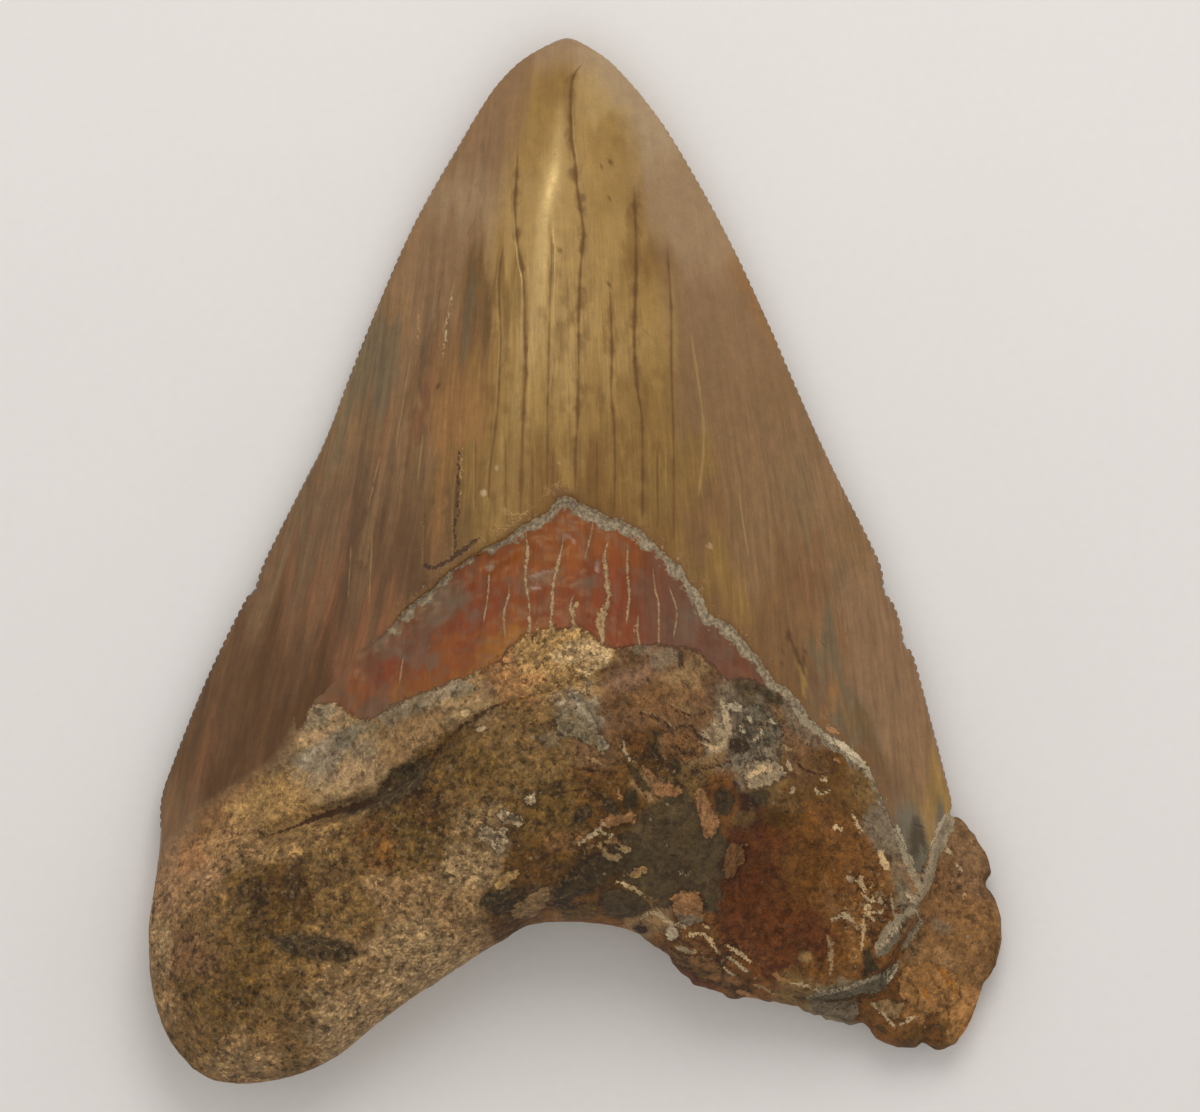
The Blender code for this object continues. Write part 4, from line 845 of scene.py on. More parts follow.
# Clouds all over it: colour, shift of the noise, size, strength.
BOURLETTE_CLOUDS = [("ember", 30, 1.2, 0.3), ("violet_grey", 150, 0.7, 0.35)]
BOURLETTE_GAIN = 0.94
ROOT_DABS = [
    ("blue_grey", -24.6, -19.2, 4.2, 1.5, 38, 0.85), ("grey_green", -21.4, -16.8, 2.2, 1, 35, 0.8),
    ("stone_pale", -26.6, -19.6, 2, 0.8, 38, 0.7), ("cream", 1, -9.2, 3, 1.8, 6, 0.85),
    # The bark patch at (-11.6, -17.2) is painted shade along the neck groove.
    ("bark", -11.6, -17.2, 4.4, 0.6, 42, 0.5), ("rust_tan", -36, -25.6, 3.6, 1, 40, 0.7),
    ("ginger", -33.4, -23, 3, 0.7, 40, 0.7), ("dark_slate", -23.4, -31.4, 2.2, 1, 10, 0.5),
    ("dark_slate", -26.4, -38, 1.4, 0.8, 0, 0.4), ("dark_slate", -33, -43.6, 1.8, 1.2, 20, 0.4),
    ("gold_sand", -1.2, -9, 4.4, 2, 8, 0.95), ("cream", 0.4, -9, 2.6, 1.2, 10, 0.6),
    ("orange_tan", -9.6, -12.4, 3.4, 1.2, 30, 0.5), ("grey_green", -11.2, -12.9, 1.6, 1, 30, 0.9),
    ("blue_grey", -13.2, -13, 3.4, 0.9, 32, 0.7), ("stone_grey", -9, -12.6, 1, 0.6, 20, 0.5),
    ("grey_green", -16.6, -14, 1.8, 1.6, 20, 0.85), ("blue_grey", -18, -15.4, 1.6, 1, 20, 0.6),
    ("grey_green", -25.4, -15.6, 2.6, 1.2, 40, 0.8), ("pewter", -21.8, -18.6, 1.8, 0.8, 30, 0.5),
    ("blue_grey", -25, -14.8, 1.4, 1.4, 30, 0.5), ("stone_grey", -29.3, -20.6, 2, 0.7, 38, 0.5),
    ("pewter", -22.6, -17.6, 1.3, 0.8, 35, 0.8), ("pewter", -20.8, -19.4, 1.6, 0.7, 25, 0.5),
    ("rose_tan", -21.4, -21.4, 2.2, 1.4, 20, 0.6), ("gold_sand", -31.8, -23.4, 4, 1.3, 34, 0.7),
    ("ginger", -38.4, -29.6, 2, 1.6, 50, 0.8), ("stone_grey", -25.6, -22, 2, 0.8, 20, 0.5),
    ("gold_sand", -27.4, -28.2, 4.6, 0.9, 24, 0.8), ("dark_slate", -32, -33.2, 2.4, 1.6, 10, 0.7),
    ("dark_slate", -28, -32.4, 1.6, 2, 20, 0.55), ("dark_slate", -31.4, -36, 1.4, 1.2, 0, 0.6),
    ("mauve_earth", -37.6, -39.4, 2.6, 3, 0, 0.6), ("olive_earth", -34.6, -37.8, 1, 0.9, 0, 0.7),
    ("tan", -42.2, -39.5, 0.8, 4, 0, 0.6), ("earth", -22.6, -36.6, 3, 1.2, 10, 0.7),
    ("bark", -29, -41.6, 3.4, 0.8, 10, 0.4), ("sand", -22, -44.5, 6, 2.2, 36, 0.7),
    ("sand", -34, -50, 4.5, 1.4, 5, 0.5), ("sand", -9.6, -25.6, 2.4, 1.6, 30, 0.6),
    ("sand", -9, -14.6, 1.2, 0.6, 20, 0.7), ("stone_grey", -2.6, -17.6, 1.8, 0.8, 15, 0.6),
    ("slate", -3.2, -16.6, 1.6, 0.5, 10, 0.5), ("violet_grey", 5.6, -11.4, 3.6, 1.2, 18, 0.6),
    ("stone_grey", 8.6, -9.8, 1.6, 1, 20, 0.7), ("blue_grey", 6.4, -8.8, 1, 0.8, 0, 0.6),
    ("rust_tan", 8.6, -14, 3.6, 1.8, 10, 0.6), ("dark_slate", 10.4, -10, 0.35, 0.9, 0, 0.9),
    ("slate", 5.6, -9.9, 0.4, 0.25, 0, 0.9), ("dark_slate", 1.2, -30.4, 2.6, 1.2, 30, 0.7),
    ("dark_slate", -5.6, -33.6, 2.4, 0.8, 25, 0.7), ("olive_earth", 5.4, -34, 2.2, 1.4, 10, 0.7),
    ("rust_tan", -1.4, -27.8, 2.2, 1.2, 10, 0.6), ("tan", -0.2, -35.2, 2.6, 0.6, 8, 0.5),
    ("pewter", 20.8, -14.6, 1.6, 0.7, -42, 0.6), ("stone_grey", 22.4, -17, 2.2, 0.8, -42, 0.6),
    ("mauve_earth", 22.6, -20.6, 2.6, 1.6, -20, 0.5), ("earth", 20.4, -24, 2.4, 1, -20, 0.6),
    ("red_brown", 18.4, -33.4, 3.4, 3, 0, 0.7), ("rust_brown", 22.4, -30.6, 2, 3, 10, 0.5),
    ("copper", 28, -37, 1.2, 3.4, 0, 0.35), ("rust_tan", 25.2, -33.6, 0.9, 3, 10, 0.5),
    ("gold_sand", 22.8, -39.6, 0.7, 0.5, 0, 0.8), ("stone_grey", 32.4, -31.6, 0.9, 3.6, 12, 0.7),
    ("pewter", 32.4, -33.4, 0.7, 1.8, 0, 0.6), ("earth", 16.8, -25.6, 1.6, 1.1, 0, 0.6),
    ("mauve_earth", 36.4, -33.6, 1.2, 3, -10, 0.5), ("edge_tan", 39.2, -31, 1.6, 2.6, 10, 0.4),
    ("stone_grey", 36.6, -36.8, 1.2, 0.6, -30, 0.6), ("bark", 41.6, -38.6, 0.6, 3, 0, 0.5),
]

# Shapes of the root with a crisp edge: colour and closed outline.
SHAPES = {
    "slate": [
        [(-30.3, -37.3), (-27.6, -37), (-24.6, -37.4), (-22, -37.9), (-21.5, -39.1), (-23.1, -39.8),
            (-25.6, -39.4), (-28, -39), (-29.3, -38.2)],
        [(-19.6, -23.2), (-18.1, -20.8), (-16.1, -19.8), (-14.2, -19.8), (-14.8, -21.5),
            (-16.1, -22.8), (-17.6, -24), (-19.8, -24.5), (-22.6, -25.2), (-22, -24.2)],
        [(18.6, -13), (19.9, -12.6), (21, -13.4), (20.6, -14.4), (19, -14.2)],
        [(17.2, -23), (18.1, -22.6), (19.1, -23.2), (19, -24.1), (17.9, -24.3), (17.2, -23.7)],
        [(2.6, -33), (4.2, -32.5), (6.2, -33.2), (7.6, -34.6), (6.4, -35.2), (4.6, -35.6),
            (2.8, -35)]],
    "bone": [
        [(-9.8, -26.6), (-9, -26.2), (-7.9, -26.6), (-6.9, -26.3), (-6.7, -27.6), (-6.9, -28.7),
            (-7.6, -29), (-8.7, -28.3), (-9.5, -27.6)],
        [(-7.8, -25), (-7, -24.6), (-5.8, -25.2), (-5, -25.8), (-5.4, -26.4), (-6.4, -26.2),
            (-7.3, -25.8)],
        [(-4.9, -23.2), (-4.2, -22.8), (-3.8, -23.6), (-4.3, -24.3), (-4.9, -24)],
        [(16.4, -20.8), (17.6, -19.8), (19.9, -20), (20.9, -21.2), (19.4, -22.4), (17.4, -22.6),
            (16.6, -21.8)]],
    "grey_green": [
        [(-2, -15.6), (-0.1, -14.6), (2, -16.2), (2.8, -18.4), (1.4, -18.2), (-0.1, -17.6),
            (-1.6, -17)]],
    "stone_pale": [
        [(0.6, -13.6), (1.4, -15), (2.4, -17), (3.4, -18.6), (2.6, -19), (1.6, -17.6), (0.8, -16.2),
            (0, -14.8)]],
    "rust_tan": [
        [(7.9, -17.5), (9.6, -16.6), (11.4, -16.8), (12.7, -18.5), (11.9, -20.5), (9.4, -19.2),
            (8.4, -20)],
        [(8.6, -38.6), (10.6, -39.2), (13.8, -39.6), (17.2, -42.4), (15.4, -42.8), (11.8, -41),
            (9.2, -40)],
        [(14.9, -28), (16.6, -28.2), (16.8, -29.6), (16, -31.2), (15, -32), (14.6, -30.2)]],
    "rust_brown": [
        [(4.4, -17.5), (5.2, -16.8), (6.8, -17.2), (7.4, -18.5), (6.6, -19.8), (5.4, -19.5),
            (4.6, -18.6)],
        [(35, -45.6), (36, -45.2), (36.6, -47), (36.2, -48.8), (35.2, -48.6), (34.6, -47)]],
    "charcoal": [
        [(7.6, -16.8), (8.5, -17.1), (8.7, -18.5), (8.2, -19.5), (7.2, -20), (7.4, -18.8),
            (7.9, -18)],
        [(9.2, -19.8), (9.9, -19.5), (10.4, -20.5), (9.9, -21.4), (9.1, -21)],
        [(15.2, -17.8), (16.9, -17.6), (17.4, -18.6), (16.2, -19.2), (15.3, -19)],
        [(13.6, -23), (14.6, -22.4), (15.6, -23.6), (15.2, -25), (14, -25.2)],
        [(-0.4, -25.6), (0.4, -24.4), (1.2, -24), (1.4, -24.8), (0.8, -25.8), (0, -26.3)],
        [(2.8, -23.4), (3.8, -23.8), (4.3, -24.8), (3.4, -25), (2.8, -24.4)],
        [(4.6, -24.4), (5, -22.8), (5.8, -22.6), (6.2, -23.8), (5.6, -24.8)],
        [(-2.2, -34.4), (-2, -32.4), (-0.4, -30.9), (1.8, -29.4), (4.2, -28.2), (5.6, -28.6),
            (4.8, -30.2), (3, -31.4), (1.6, -32.8), (0, -33.4), (-1.2, -34.6)],
        [(-9.6, -34), (-8.6, -32.8), (-7, -32.2), (-5.2, -32.8), (-6.6, -34.2), (-8, -35)],
        [(28.6, -38.9), (29, -38.7), (30.2, -40.8), (29.4, -41.3), (28.5, -41.7)]],
    "ginger": [
        [(6.4, -20.2), (7.4, -20.6), (8.6, -21.8), (10.4, -22.3), (10.6, -23), (9.2, -23.6),
            (7.9, -23.2), (7.4, -21.8)],
        [(11.8, -22.8), (12.8, -22.5), (13.4, -24.2), (14.2, -26), (13.8, -27), (12.7, -27.4),
            (12.2, -25.8), (11.8, -24.2)],
        [(9.3, -33.5), (10.4, -32.7), (11.9, -32.6), (12.7, -34), (12.6, -35.4), (11.2, -35.8),
            (9.6, -35)]],
    "pewter": [
        [(15.9, -15.2), (17.6, -14.4), (19.9, -15.6), (20.6, -17.5), (19.4, -18.5), (17.4, -18.2),
            (16.2, -17.2)],
        [(32, -40.1), (31.2, -40.6), (30.4, -41.2), (28.6, -41.8), (26.4, -42.6), (24.4, -43.2),
            (23, -43.6), (25, -43.6), (28.4, -43.4), (30.4, -43.2), (31.3, -42.2), (32.1, -40.9)]],
    "chalk": [
        [(14.8, -14.4), (15.5, -14), (16.4, -14.2), (16.9, -14.8), (16.2, -15.2), (15.1, -15)],
        [(8.8, -36.8), (9.4, -36.3), (10.3, -36.8), (10.2, -37.5), (9.2, -37.7)]],
    "orange_tan": [
        [(2.2, -25.8), (3.4, -25.1), (5.7, -25.1), (5.8, -25.9), (4.2, -26.3), (2.4, -26.7)]],
    "gold_sand": [
        [(4.6, -31.2), (5.8, -30.4), (7.2, -30.2), (6.9, -30.8), (5.6, -31.4)],
        [(-8, -32.4), (-7.6, -31.2), (-6.1, -30.4), (-5.4, -30.6), (-6.1, -31.6), (-7.1, -32.4)]],
    "tan": [
        [(-6.6, -34.8), (-4.6, -33.2), (-2.8, -32.2), (-2.5, -33.4), (-3.7, -35.4), (-6, -35.6)],
        [(29.4, -44.2), (31, -43.9), (33, -44.4), (31.8, -46.2), (30.6, -45.6)]],
    "olive_earth": [
        [(-1.6, -34.8), (0.4, -33.9), (2.3, -34.1), (1.9, -35.2), (0.2, -35.6), (-1, -35.5)],
        [(11.7, -40.8), (12.9, -40.4), (14, -41), (13.6, -41.8), (12.2, -41.8)]],
    "stone_grey": [
        [(9.8, -35), (11.2, -34.8), (12.6, -35.2), (12.4, -35.9), (10.4, -36.2)],
        [(23.6, -44), (26.4, -43.8), (28.2, -44.2), (28.4, -45.4), (27.6, -46.2), (26, -45.6),
            (24, -45.2)]],
    "deep_brown": [[(5.7, -36.4), (6.6, -36.1), (7.2, -36.8), (6.4, -37.2)]],
    "dark_earth": [[(15, -42.2), (16.9, -42), (17.6, -43.2), (15.9, -43.6)]],
    "copper": [
        [(32.4, -41), (35, -40), (38, -41.4), (38.6, -44), (36.4, -45.4), (33.6, -45),
            (32.2, -43.2)]],
}

# Strokes: colour, half width, course.
STROKES = {
    "deep_brown": [
        (0.08, [(9, -14.4), (11.6, -15.4), (13.2, -14.8)]),
        (0.1, [(6.2, -15), (8.6, -15.9), (9.8, -17.4)]),
        (0.08, [(10.6, -17.6), (12.8, -16.8), (13.9, -15.2)]), (0.1, [(-1.2, -20.4), (3.6, -20.9)]),
        (0.1, [(-2.6, -23.2), (0.4, -22.6), (2.6, -23.2)]), (0.09, [(0.8, -29.3), (4.4, -28.3)]),
        (0.1, [(21.4, -19.8), (23.4, -21.2), (25.8, -21.4)]),
        # This stroke and the next two run along the neck groove and are painted shade in it.
        (0.13, [(-30.4, -27.5), (-28, -26.6), (-25.8, -25.6)]),
        (0.32, [(-27.4, -26.3), (-25, -25.4), (-22.6, -24.7), (-19.6, -23.9)]),
        (0.12, [(-15.4, -21.2), (-12.8, -18), (-11, -16.3), (-9, -15.1), (-6.6, -13.9)]),
        (0.12, [(4.9, -19.8), (5.5, -21), (6.3, -22.2), (7.2, -23.6)]),
        (0.12, [(9.1, -16.7), (11.3, -16.4), (12, -17.3), (13.5, -18.2)]),
        (0.1, [(9.9, -18.4), (11, -19.2), (12.2, -19)]),
        (0.14, [(11.2, -20.9), (13.4, -20.6), (15.4, -19.9)]),
        (0.16, [(34.8, -30.4), (34.6, -31.4), (34.5, -32.6)]),
        (0.17, [(-15.2, -0.3), (-14, -0.9), (-12.3, 0.2), (-10.3, 1.6), (-9.4, 2.3)]),
        (0.11, [(-12, 0.8), (-11.9, 3.1), (-11.7, 6.5), (-11.6, 10.7)])],
    "bark": [
        (0.12, [(2.6, -15.2), (4.6, -14.3), (7.4, -14.6)]), (0.1, [(3.6, -17), (4.2, -19)]),
        (0.12, [(35, -41), (37, -44), (37.4, -47)]),
        (0.1, [(33, -41.6), (34.2, -43.4), (34, -45.4)]),
        # The next stroke runs along the right end of the neck groove and is painted shade in it.
        (0.1, [(-7.6, -14.3), (-3, -13), (1.6, -11.4), (5.3, -10.3)]),
        (0.09, [(-15.1, 4.7), (-15, -0.2)])],
    "sand": [
        (0.06, [(9.2, -14.1), (11.4, -15.1)]), (0.07, [(6.4, -14.8), (8.6, -15.6), (9.9, -17)]),
        (0.1, [(26.6, -33.4), (27, -35.2), (26.8, -37)]), (0.08, [(27.6, -38.6), (27.8, -41)]),
        (0.2, [(-0.1, -7.2), (-0.2, -5), (0.1, -4.2)]),
        (0.26, [(2.5, -7.6), (2.4, -5.6), (2.7, -4.6)]), (0.18, [(-3.6, -7.6), (-3.8, -6.2)]),
        (0.14, [(5.8, -7.4), (6.1, -6.2)]), (0.25, [(4.2, -28.4), (5.5, -28.7)]),
        (0.3, [(2.6, -28.2), (3.2, -29.2), (4.6, -29.4)]), (0.16, [(20.6, -18.6), (21.4, -19)]),
        (0.2, [(25, -37.4), (25.4, -39.4), (25.2, -41.4)]),
        (0.14, [(17.8, -42.4), (19.2, -43), (20, -43.4)])],
    "tan": [
        (0.1, [(-1, -20), (1.2, -19.6), (3.4, -20.4)]),
        (0.12, [(0.6, -28.9), (2.4, -28), (4.6, -27.9)]),
        (0.32, [(11, -20.2), (13, -19.6), (15.2, -18.9)])],
    "red_brown": [(0.14, [(22.6, -33), (23.4, -36), (23, -39)])],
    "gold_sand": [
        (0.1, [(29.6, -31.6), (29.4, -33.2)]), (0.09, [(30.6, -31.6), (30.4, -33)]),
        (0.04, [(-11.6, 4.8), (-11.4, 8), (-11.2, 11.4)])],
    "stone_pale": [
        (0.12, [(34.6, -31), (33.4, -34.4), (31.8, -36.6)]),
        (0.35, [(21.6, -14.8), (23, -16.2), (25, -17.9)]), (0.3, [(28.8, -20.8), (29.8, -22.2)]),
        (0.8, [(37.5, -25.6), (36.5, -27.6), (35.8, -29.6)]),
        (0.55, [(36, -28.8), (35.2, -31.6), (34.4, -33.8)]),
        (0.36, [(34.8, -33.2), (33.2, -35), (32, -35.8), (30.8, -37.2), (29.9, -38.8)]),
        (0.38, [(32, -26.6), (32.6, -29), (33.5, -31.1), (34.2, -32.9)]),
        (0.28, [(34.5, -36), (33.6, -37.4), (32.6, -38.8)]),
        (0.13, [(31.3, -32.9), (31.5, -34.4), (31.7, -35.4)]),
        (0.18, [(32.2, -40), (30.8, -41.3), (28.6, -42.1), (26, -42.9), (23, -43.6)])],
    "charcoal": [
        (0.1, [(35.4, -30), (34.4, -33.2), (32.6, -36), (31, -38.4)]),
        (0.3, [(5.3, -20.2), (6, -21.1), (6.6, -22), (7.3, -22.8)]),
        (0.2, [(33.2, -35.6), (32.2, -37), (31.2, -38)]),
        (0.12, [(31.2, -43.3), (28.4, -43.7), (25, -43.9), (21.6, -43.6)]),
        (0.25, [(30, -46.6), (31, -47.4)])],
    "amber": [(0.16, [(36, -40.4), (38.2, -43.4)]), (0.12, [(34.4, -41.6), (35.4, -44.6)])],
    "cream": [
        (0.3, [(-11.2, -15.5), (-10.4, -14.9)]),
        (0.17, [(3.7, -31.8), (4.8, -32), (5.8, -32.6), (6.8, -33.3)]),
        (0.13, [(12.2, -17.8), (13.4, -18.6), (14.4, -18.4)]),
        (0.3, [(17.2, -21.6), (18.2, -20.8), (19.4, -20.8)]),
        (0.14, [(24.2, -21.7), (25.1, -22.1)]), (0.24, [(25.4, -26.8), (26, -26.5), (26.5, -26.9)]),
        (0.16, [(27.5, -25.2), (28, -26.4), (28.5, -27.3)]),
        (0.34, [(30.2, -28.9), (30.6, -30), (31.1, -30.9)]),
        (0.22, [(28.1, -31.4), (28.5, -32.6), (28.6, -33.4)]),
        (0.14, [(29.4, -33.4), (29.2, -34.8), (29.6, -36)]),
        (0.17, [(28.8, -34.4), (28.6, -36.8), (28.4, -39)]), (0.16, [(38.9, -33.2), (38.9, -33.9)]),
        (0.2, [(10.4, -37.6), (11.4, -37.2), (12.6, -37.2), (13.6, -38), (13.9, -39)]),
        (0.22, [(14.8, -38.4), (16.2, -39), (17.5, -40.2)]), (0.13, [(12.4, -36), (13.2, -36.6)])],
    "bone": [
        (0.35, [(-9.6, -16.8), (-9, -16.5)]),
        (0.22, [(0, -28.2), (0.9, -27.4), (1.7, -27), (2.8, -26)]),
        (0.17, [(2.6, -26.9), (4, -27.4)]), (0.14, [(10, -30.9), (11, -31.1)]),
        (0.14, [(4.5, -17.4), (4.8, -18.8), (5.8, -19.9)]),
        (0.3, [(14.4, -13.8), (14.8, -15.4), (15.2, -16.8), (14.9, -17.8)]),
        (0.13, [(23.7, -22.8), (24.4, -23.2), (25.3, -22.9)]), (0.24, [(21, -20), (21.4, -21)]),
        (0.2, [(21.8, -22.4), (21.2, -23.2)]), (0.22, [(26.8, -31.6), (27.6, -32)]),
        (0.14, [(28.6, -33.4), (29.4, -34), (30.2, -33.8)]),
        (0.14, [(29, -34.6), (29.8, -35.2), (30.6, -35)]), (0.13, [(30.2, -33.6), (30.6, -34.8)]),
        (0.24, [(25.3, -36), (26.4, -35.4), (27.4, -35.8), (28, -36.8)]),
        (0.13, [(25.2, -38.4), (25.8, -38)]), (0.13, [(20.8, -42), (22.4, -42.2), (24.4, -42.9)]),
        (0.13, [(29.3, -44.2), (30.4, -45.2), (31.7, -46.7)]),
        (0.15, [(31.7, -46.7), (33, -46), (34.2, -45.8)]), (0.14, [(38, -30.4), (38.6, -31.2)]),
        (0.17, [(37, -28.8), (37.6, -29.4)]), (0.17, [(10, -38.4), (11.2, -38.9), (12.2, -38.7)]),
        (0.16, [(15, -39.4), (16, -40.2), (17.4, -41.2)]), (0.14, [(14.8, -40.4), (15.8, -41.4)]),
        (0.18, [(6.4, -35.6), (7.6, -35), (8.8, -35.6)]),
        (0.22, [(8, -34.6), (9.2, -35.9), (11, -36.4)]),
        (0.04, [(-12.3, 26.2), (-12.9, 23.1), (-13.3, 20)])],
    "ginger": [
        (0.2, [(4.2, -22.4), (4.6, -23.6)]), (0.3, [(24.9, -16.7), (26, -17.3)]),
        (0.2, [(25.6, -19.8), (26.2, -20.2)])],
    "orange_tan": [
        (0.15, [(12.6, -20.4), (14, -19.9), (15.2, -19.4)]), (0.22, [(16, -42.9), (18.2, -43.8)]),
        (0.2, [(19.4, -41), (21.4, -42.2)])],
    "chalk": [
        (0.14, [(17, -15.4), (17.4, -16.2)]), (0.15, [(18.4, -16.6), (18.2, -17.4), (17.6, -18)]),
        (0.13, [(19.2, -15.8), (19.8, -16.4)]), (0.12, [(16.2, -16.4), (16.8, -17.2)]),
        (0.36, [(25, -17.8), (26.6, -18.7), (28, -19.9), (29.2, -21.2)]),
        (0.15, [(32.8, -33.1), (33.6, -34.2), (34.4, -35.8)]),
        (0.12, [(32.2, -36.3), (31.2, -37.7), (30.1, -39)]),
        (0.16, [(32.1, -40.4), (31.2, -42.2)])],
    "pewter": [(0.42, [(32.2, -36.6), (31.2, -38.4), (30, -39.4)])],
    "clay": [(0.1, [(-15.7, 24.7), (-15.9, 21.6)])],
}
# Where the root is strewn with pale flecks and dark pits: x, y, reach in x, reach in y, strength.
FLECK_ZONES = [
    (29.4, -34, 2.4, 6.5, 1), (13, -39.2, 6, 2.4, 1), (10, -20, 7, 3.6, 0.9), (18, -18, 4.4, 4, 1),
    (-7.5, -26.5, 3.2, 2.6, 0.9), (2.5, -28, 4, 2.4, 0.9), (26, -43.6, 5, 1.8, 0.8),
    (38, -33, 2.4, 4, 0.7), (33, -36.6, 2.4, 3.6, 0.9), (0, -33.6, 6, 2, 0.7),
    (24.6, -29.4, 5, 4, 0.6), (1, -12, 7, 3, 0.6),
]
STROKE_SPREAD = 0.04    # added to every half width, for the mesh is coarser than the finest strokes
STROKE_RAG = 0.10       # how far the edge of a stroke or a shape wanders
SHAPE_GAIN = 1.25
GRAIN_SHADE = 0.22      # painted shade: how much lighter the tops of the root's grains are painted than its hollows
GROOVE_SHADE = 0.35     # painted shade: how much darker the groove is painted at its deepest
EDGE_RAG = 0.40         # how far the edge of a patch wanders, as a share of its radius

# The slab of dark matrix, as a closed outline.
SLATE_SLAB = [
    (5.9, -24.8), (8.4, -23.7), (11.1, -22.7), (12.3, -24.6), (12.6, -26.4), (14.2, -26.2),
    (15.1, -28.3), (14.9, -30), (14.6, -32.7), (14.2, -35.2), (12.8, -35.2), (12.3, -32.9),
    (11.1, -32.7), (9, -34.8), (7.7, -34.8), (6.7, -32.9), (4.4, -31.7), (4, -28.6),
]

# Where the coloured band under the enamel ends, left to right, and the width of the grey seam above.
BOURLETTE_END = [
    (-30, -15), (-24, -14.4), (-21, -16), (-17.6, -14.4), (-14, -12.6), (-10.6, -11.6),
    (-7.4, -9.6), (-5, -7.6), (-2, -6.6), (1, -6.8), (2.6, -8.6), (5.4, -8.6), (9.6, -8.4),
    (12.6, -9.6), (15, -12), (17.6, -12), (20, -13.4),
]
SEAM_WIDTH = [
    (-24, 0), (-19, 0.1), (-17, 0.8), (-14, 0.7), (-11, 0.45), (-9, 0.35), (-6.5, 0.65),
    (-3.5, 0.85), (-0.5, 1.4), (3, 1.1), (8, 0.85), (13, 1.2), (18, 1.1), (24, 0.8), (29, 0.6),
    (33, 0),
]
CRUMB_WIDTH = 1.2                           # of the crumbled strip above it
ENAMEL_SOFT_X = (-28.0, -23.0)              # the enamel's end melts away left of here

# How sandy the root is: 1 for coarse grains, 0 for smooth, as (share, x, y, reach).
SANDINESS = [
    (1, -34, -38, 8), (1, -22, -32, 6), (1, -10, -24, 5), (0.8, -4, -20, 4), (0.45, -30, -23, 4),
    (0.35, -23, -19, 4), (0.5, -12, -14, 3), (1, -1, -9, 3), (0.25, 8, -13, 4), (0.2, 10, -29, 4),
    (0.2, 19, -30, 6), (0.35, 26, -34, 5), (0.3, 38, -34, 6), (0.2, -40, -29, 3), (0.6, -4, -31, 3),
    (0.5, 16, -17, 3), (0.4, 12, -40, 4), (0.25, 30, -23, 4),
]


# How colours melt, and how far the noise moves their edges. A reach is the length over which a
# colour fades, and shares are of a patch's radius.
SRGB_BREAK, SRGB_SLOPE, SRGB_LIFT, SRGB_POWER = 0.04045, 12.92, 0.055, 2.4
LEAST_COLOR, LEAST_WEIGHT = 0.004, 1e-30
GAP_LIMIT, MOTTLING_STRIDE = 16, 13.7
DAB_BOUND, DAB_TAIL = 1.8, 0.4
OUTLINE_STEPS = 12                          # places along each side of an outline
WANDER_SIZES, WANDER_SHIFT = (0.9, 0.45), 40
SHAPE_MARGIN, STROKE_MARGIN = 1.2, 2.0      # how far around a mark its depth is worked out
STROKE_END = 0.4                            # share of its width that a stroke has at its ends
FIELD_REACH = 3.0                           # greatest distance in the painted fields
BAND_WANDER, BAND_WANDER_SIZE = 0.35, 1.0

# Layers of noise: share, shift of the place, size, octaves.
EDGE_LAYERS = [(1, 0, 0, 1.6, 3), (0.8, 0, 0, 0.5, 1)]
BOURLETTE_SIDEWAYS, BOURLETTE_LENGTHWISE = [(0.6, 0, 0, 2, 2)], [(1, 50, 0, 1.2, 3)]
ROOT_SIDEWAYS, ROOT_LENGTHWISE = [(1.2, 0, 0, 3, 3), (0.3, 0, 0, 0.6, 1)], [(1.2, 80, 0, 3, 3)]
ROOT_WIGGLE, ROOT_WIGGLE_SIZE = 0.3, 0.6

# Layers of streaks: share, shift over the fan, width, length.
CROWN_SIDEWAYS = [(0.7, 0, 1.6, 12), (0.4, 0, 0.8, 5)]
CROWN_LENGTHWISE = [(4, 0, 0.9, 40), (2, 60, 0.45, 20)]
GOLD_WANDER = [(0.5, 0, 0.7, 9)]
CROWN_TONES = [(0.5, 20, 0.8, 22), (0.5, 90, 0.4, 12), (0.3, 40, 2.2, 30)]
WASH_STREAKS, WASH_STREAKS_BACK = [(0.55, 0, 0.6, 9)], [(0.35, 0, 1.5, 4)]

# Crown: where it is calmer, how strong its streaks are, and its stains.
CALM_SIDE, CALM_SIDE_Y, CALM_TIP_Y, CALM_SHARE = (0.15, 0.35), (5.0, 20.0), (26.0, 36.0), 0.6
TONE_SWING, LEFT_TONE, RIGHT_TONE = 0.06, (0.16, 0.25, 0.5), (0.06, 0.3, 0.7)
STAIN_STRETCH, STAIN_SIZE, STAIN_OCTAVES, STAIN_EDGE = (1.3, 0.8), 1.5, 4, (0.05, 0.35)
STAIN_TOP_Y, STAIN_SIDE_X, STAIN_STRENGTH, STAIN_TONE = (24.0, 34.0), (8.0, 12.0), 0.40, 0.8
FLANK_SHARPNESS, MIDDLE_SHARPNESS, CROWN_DAB_BLUR, CROWN_SPOT_BLUR = 0.8, 1.0, 0.35, 0.4

# Bourlette: its mottling, its clouds' edge and its ribs.
BOURLETTE_SHARPNESS, BOURLETTE_DAB_BLUR = 1.6, 0.3
BOURLETTE_MOTTLING, BOURLETTE_MOTTLE_SIZE, CLOUD_OCTAVES, CLOUD_EDGE = 0.5, 1.4, 3, (0.08, 0.4)
RIB_SHADE, RIB_WIDTH, RIB_LENGTH, RIB_BEND, RIB_BEND_SIZE = 0.18, 0.55, 6.0, 0.3, 2.0

# Root: its mottling, the slab's edge and the shade in the groove.
ROOT_SHARPNESS, ROOT_DAB_BLUR = 2.2, 0.15
CLUMP_SHARE, CLUMP_SIZE, CLUMP_OCTAVES, FINE_CLUMP_SHARE, FINE_CLUMP_SIZE = 1.0, 1.5, 2, 0.7, 0.55
SLAB_WANDER, SLAB_EDGE = 0.4, 0.12
GROOVE_SHADE_WIDTH, GROOVE_START, GROOVE_FADE = 0.75, 0.12, 0.5


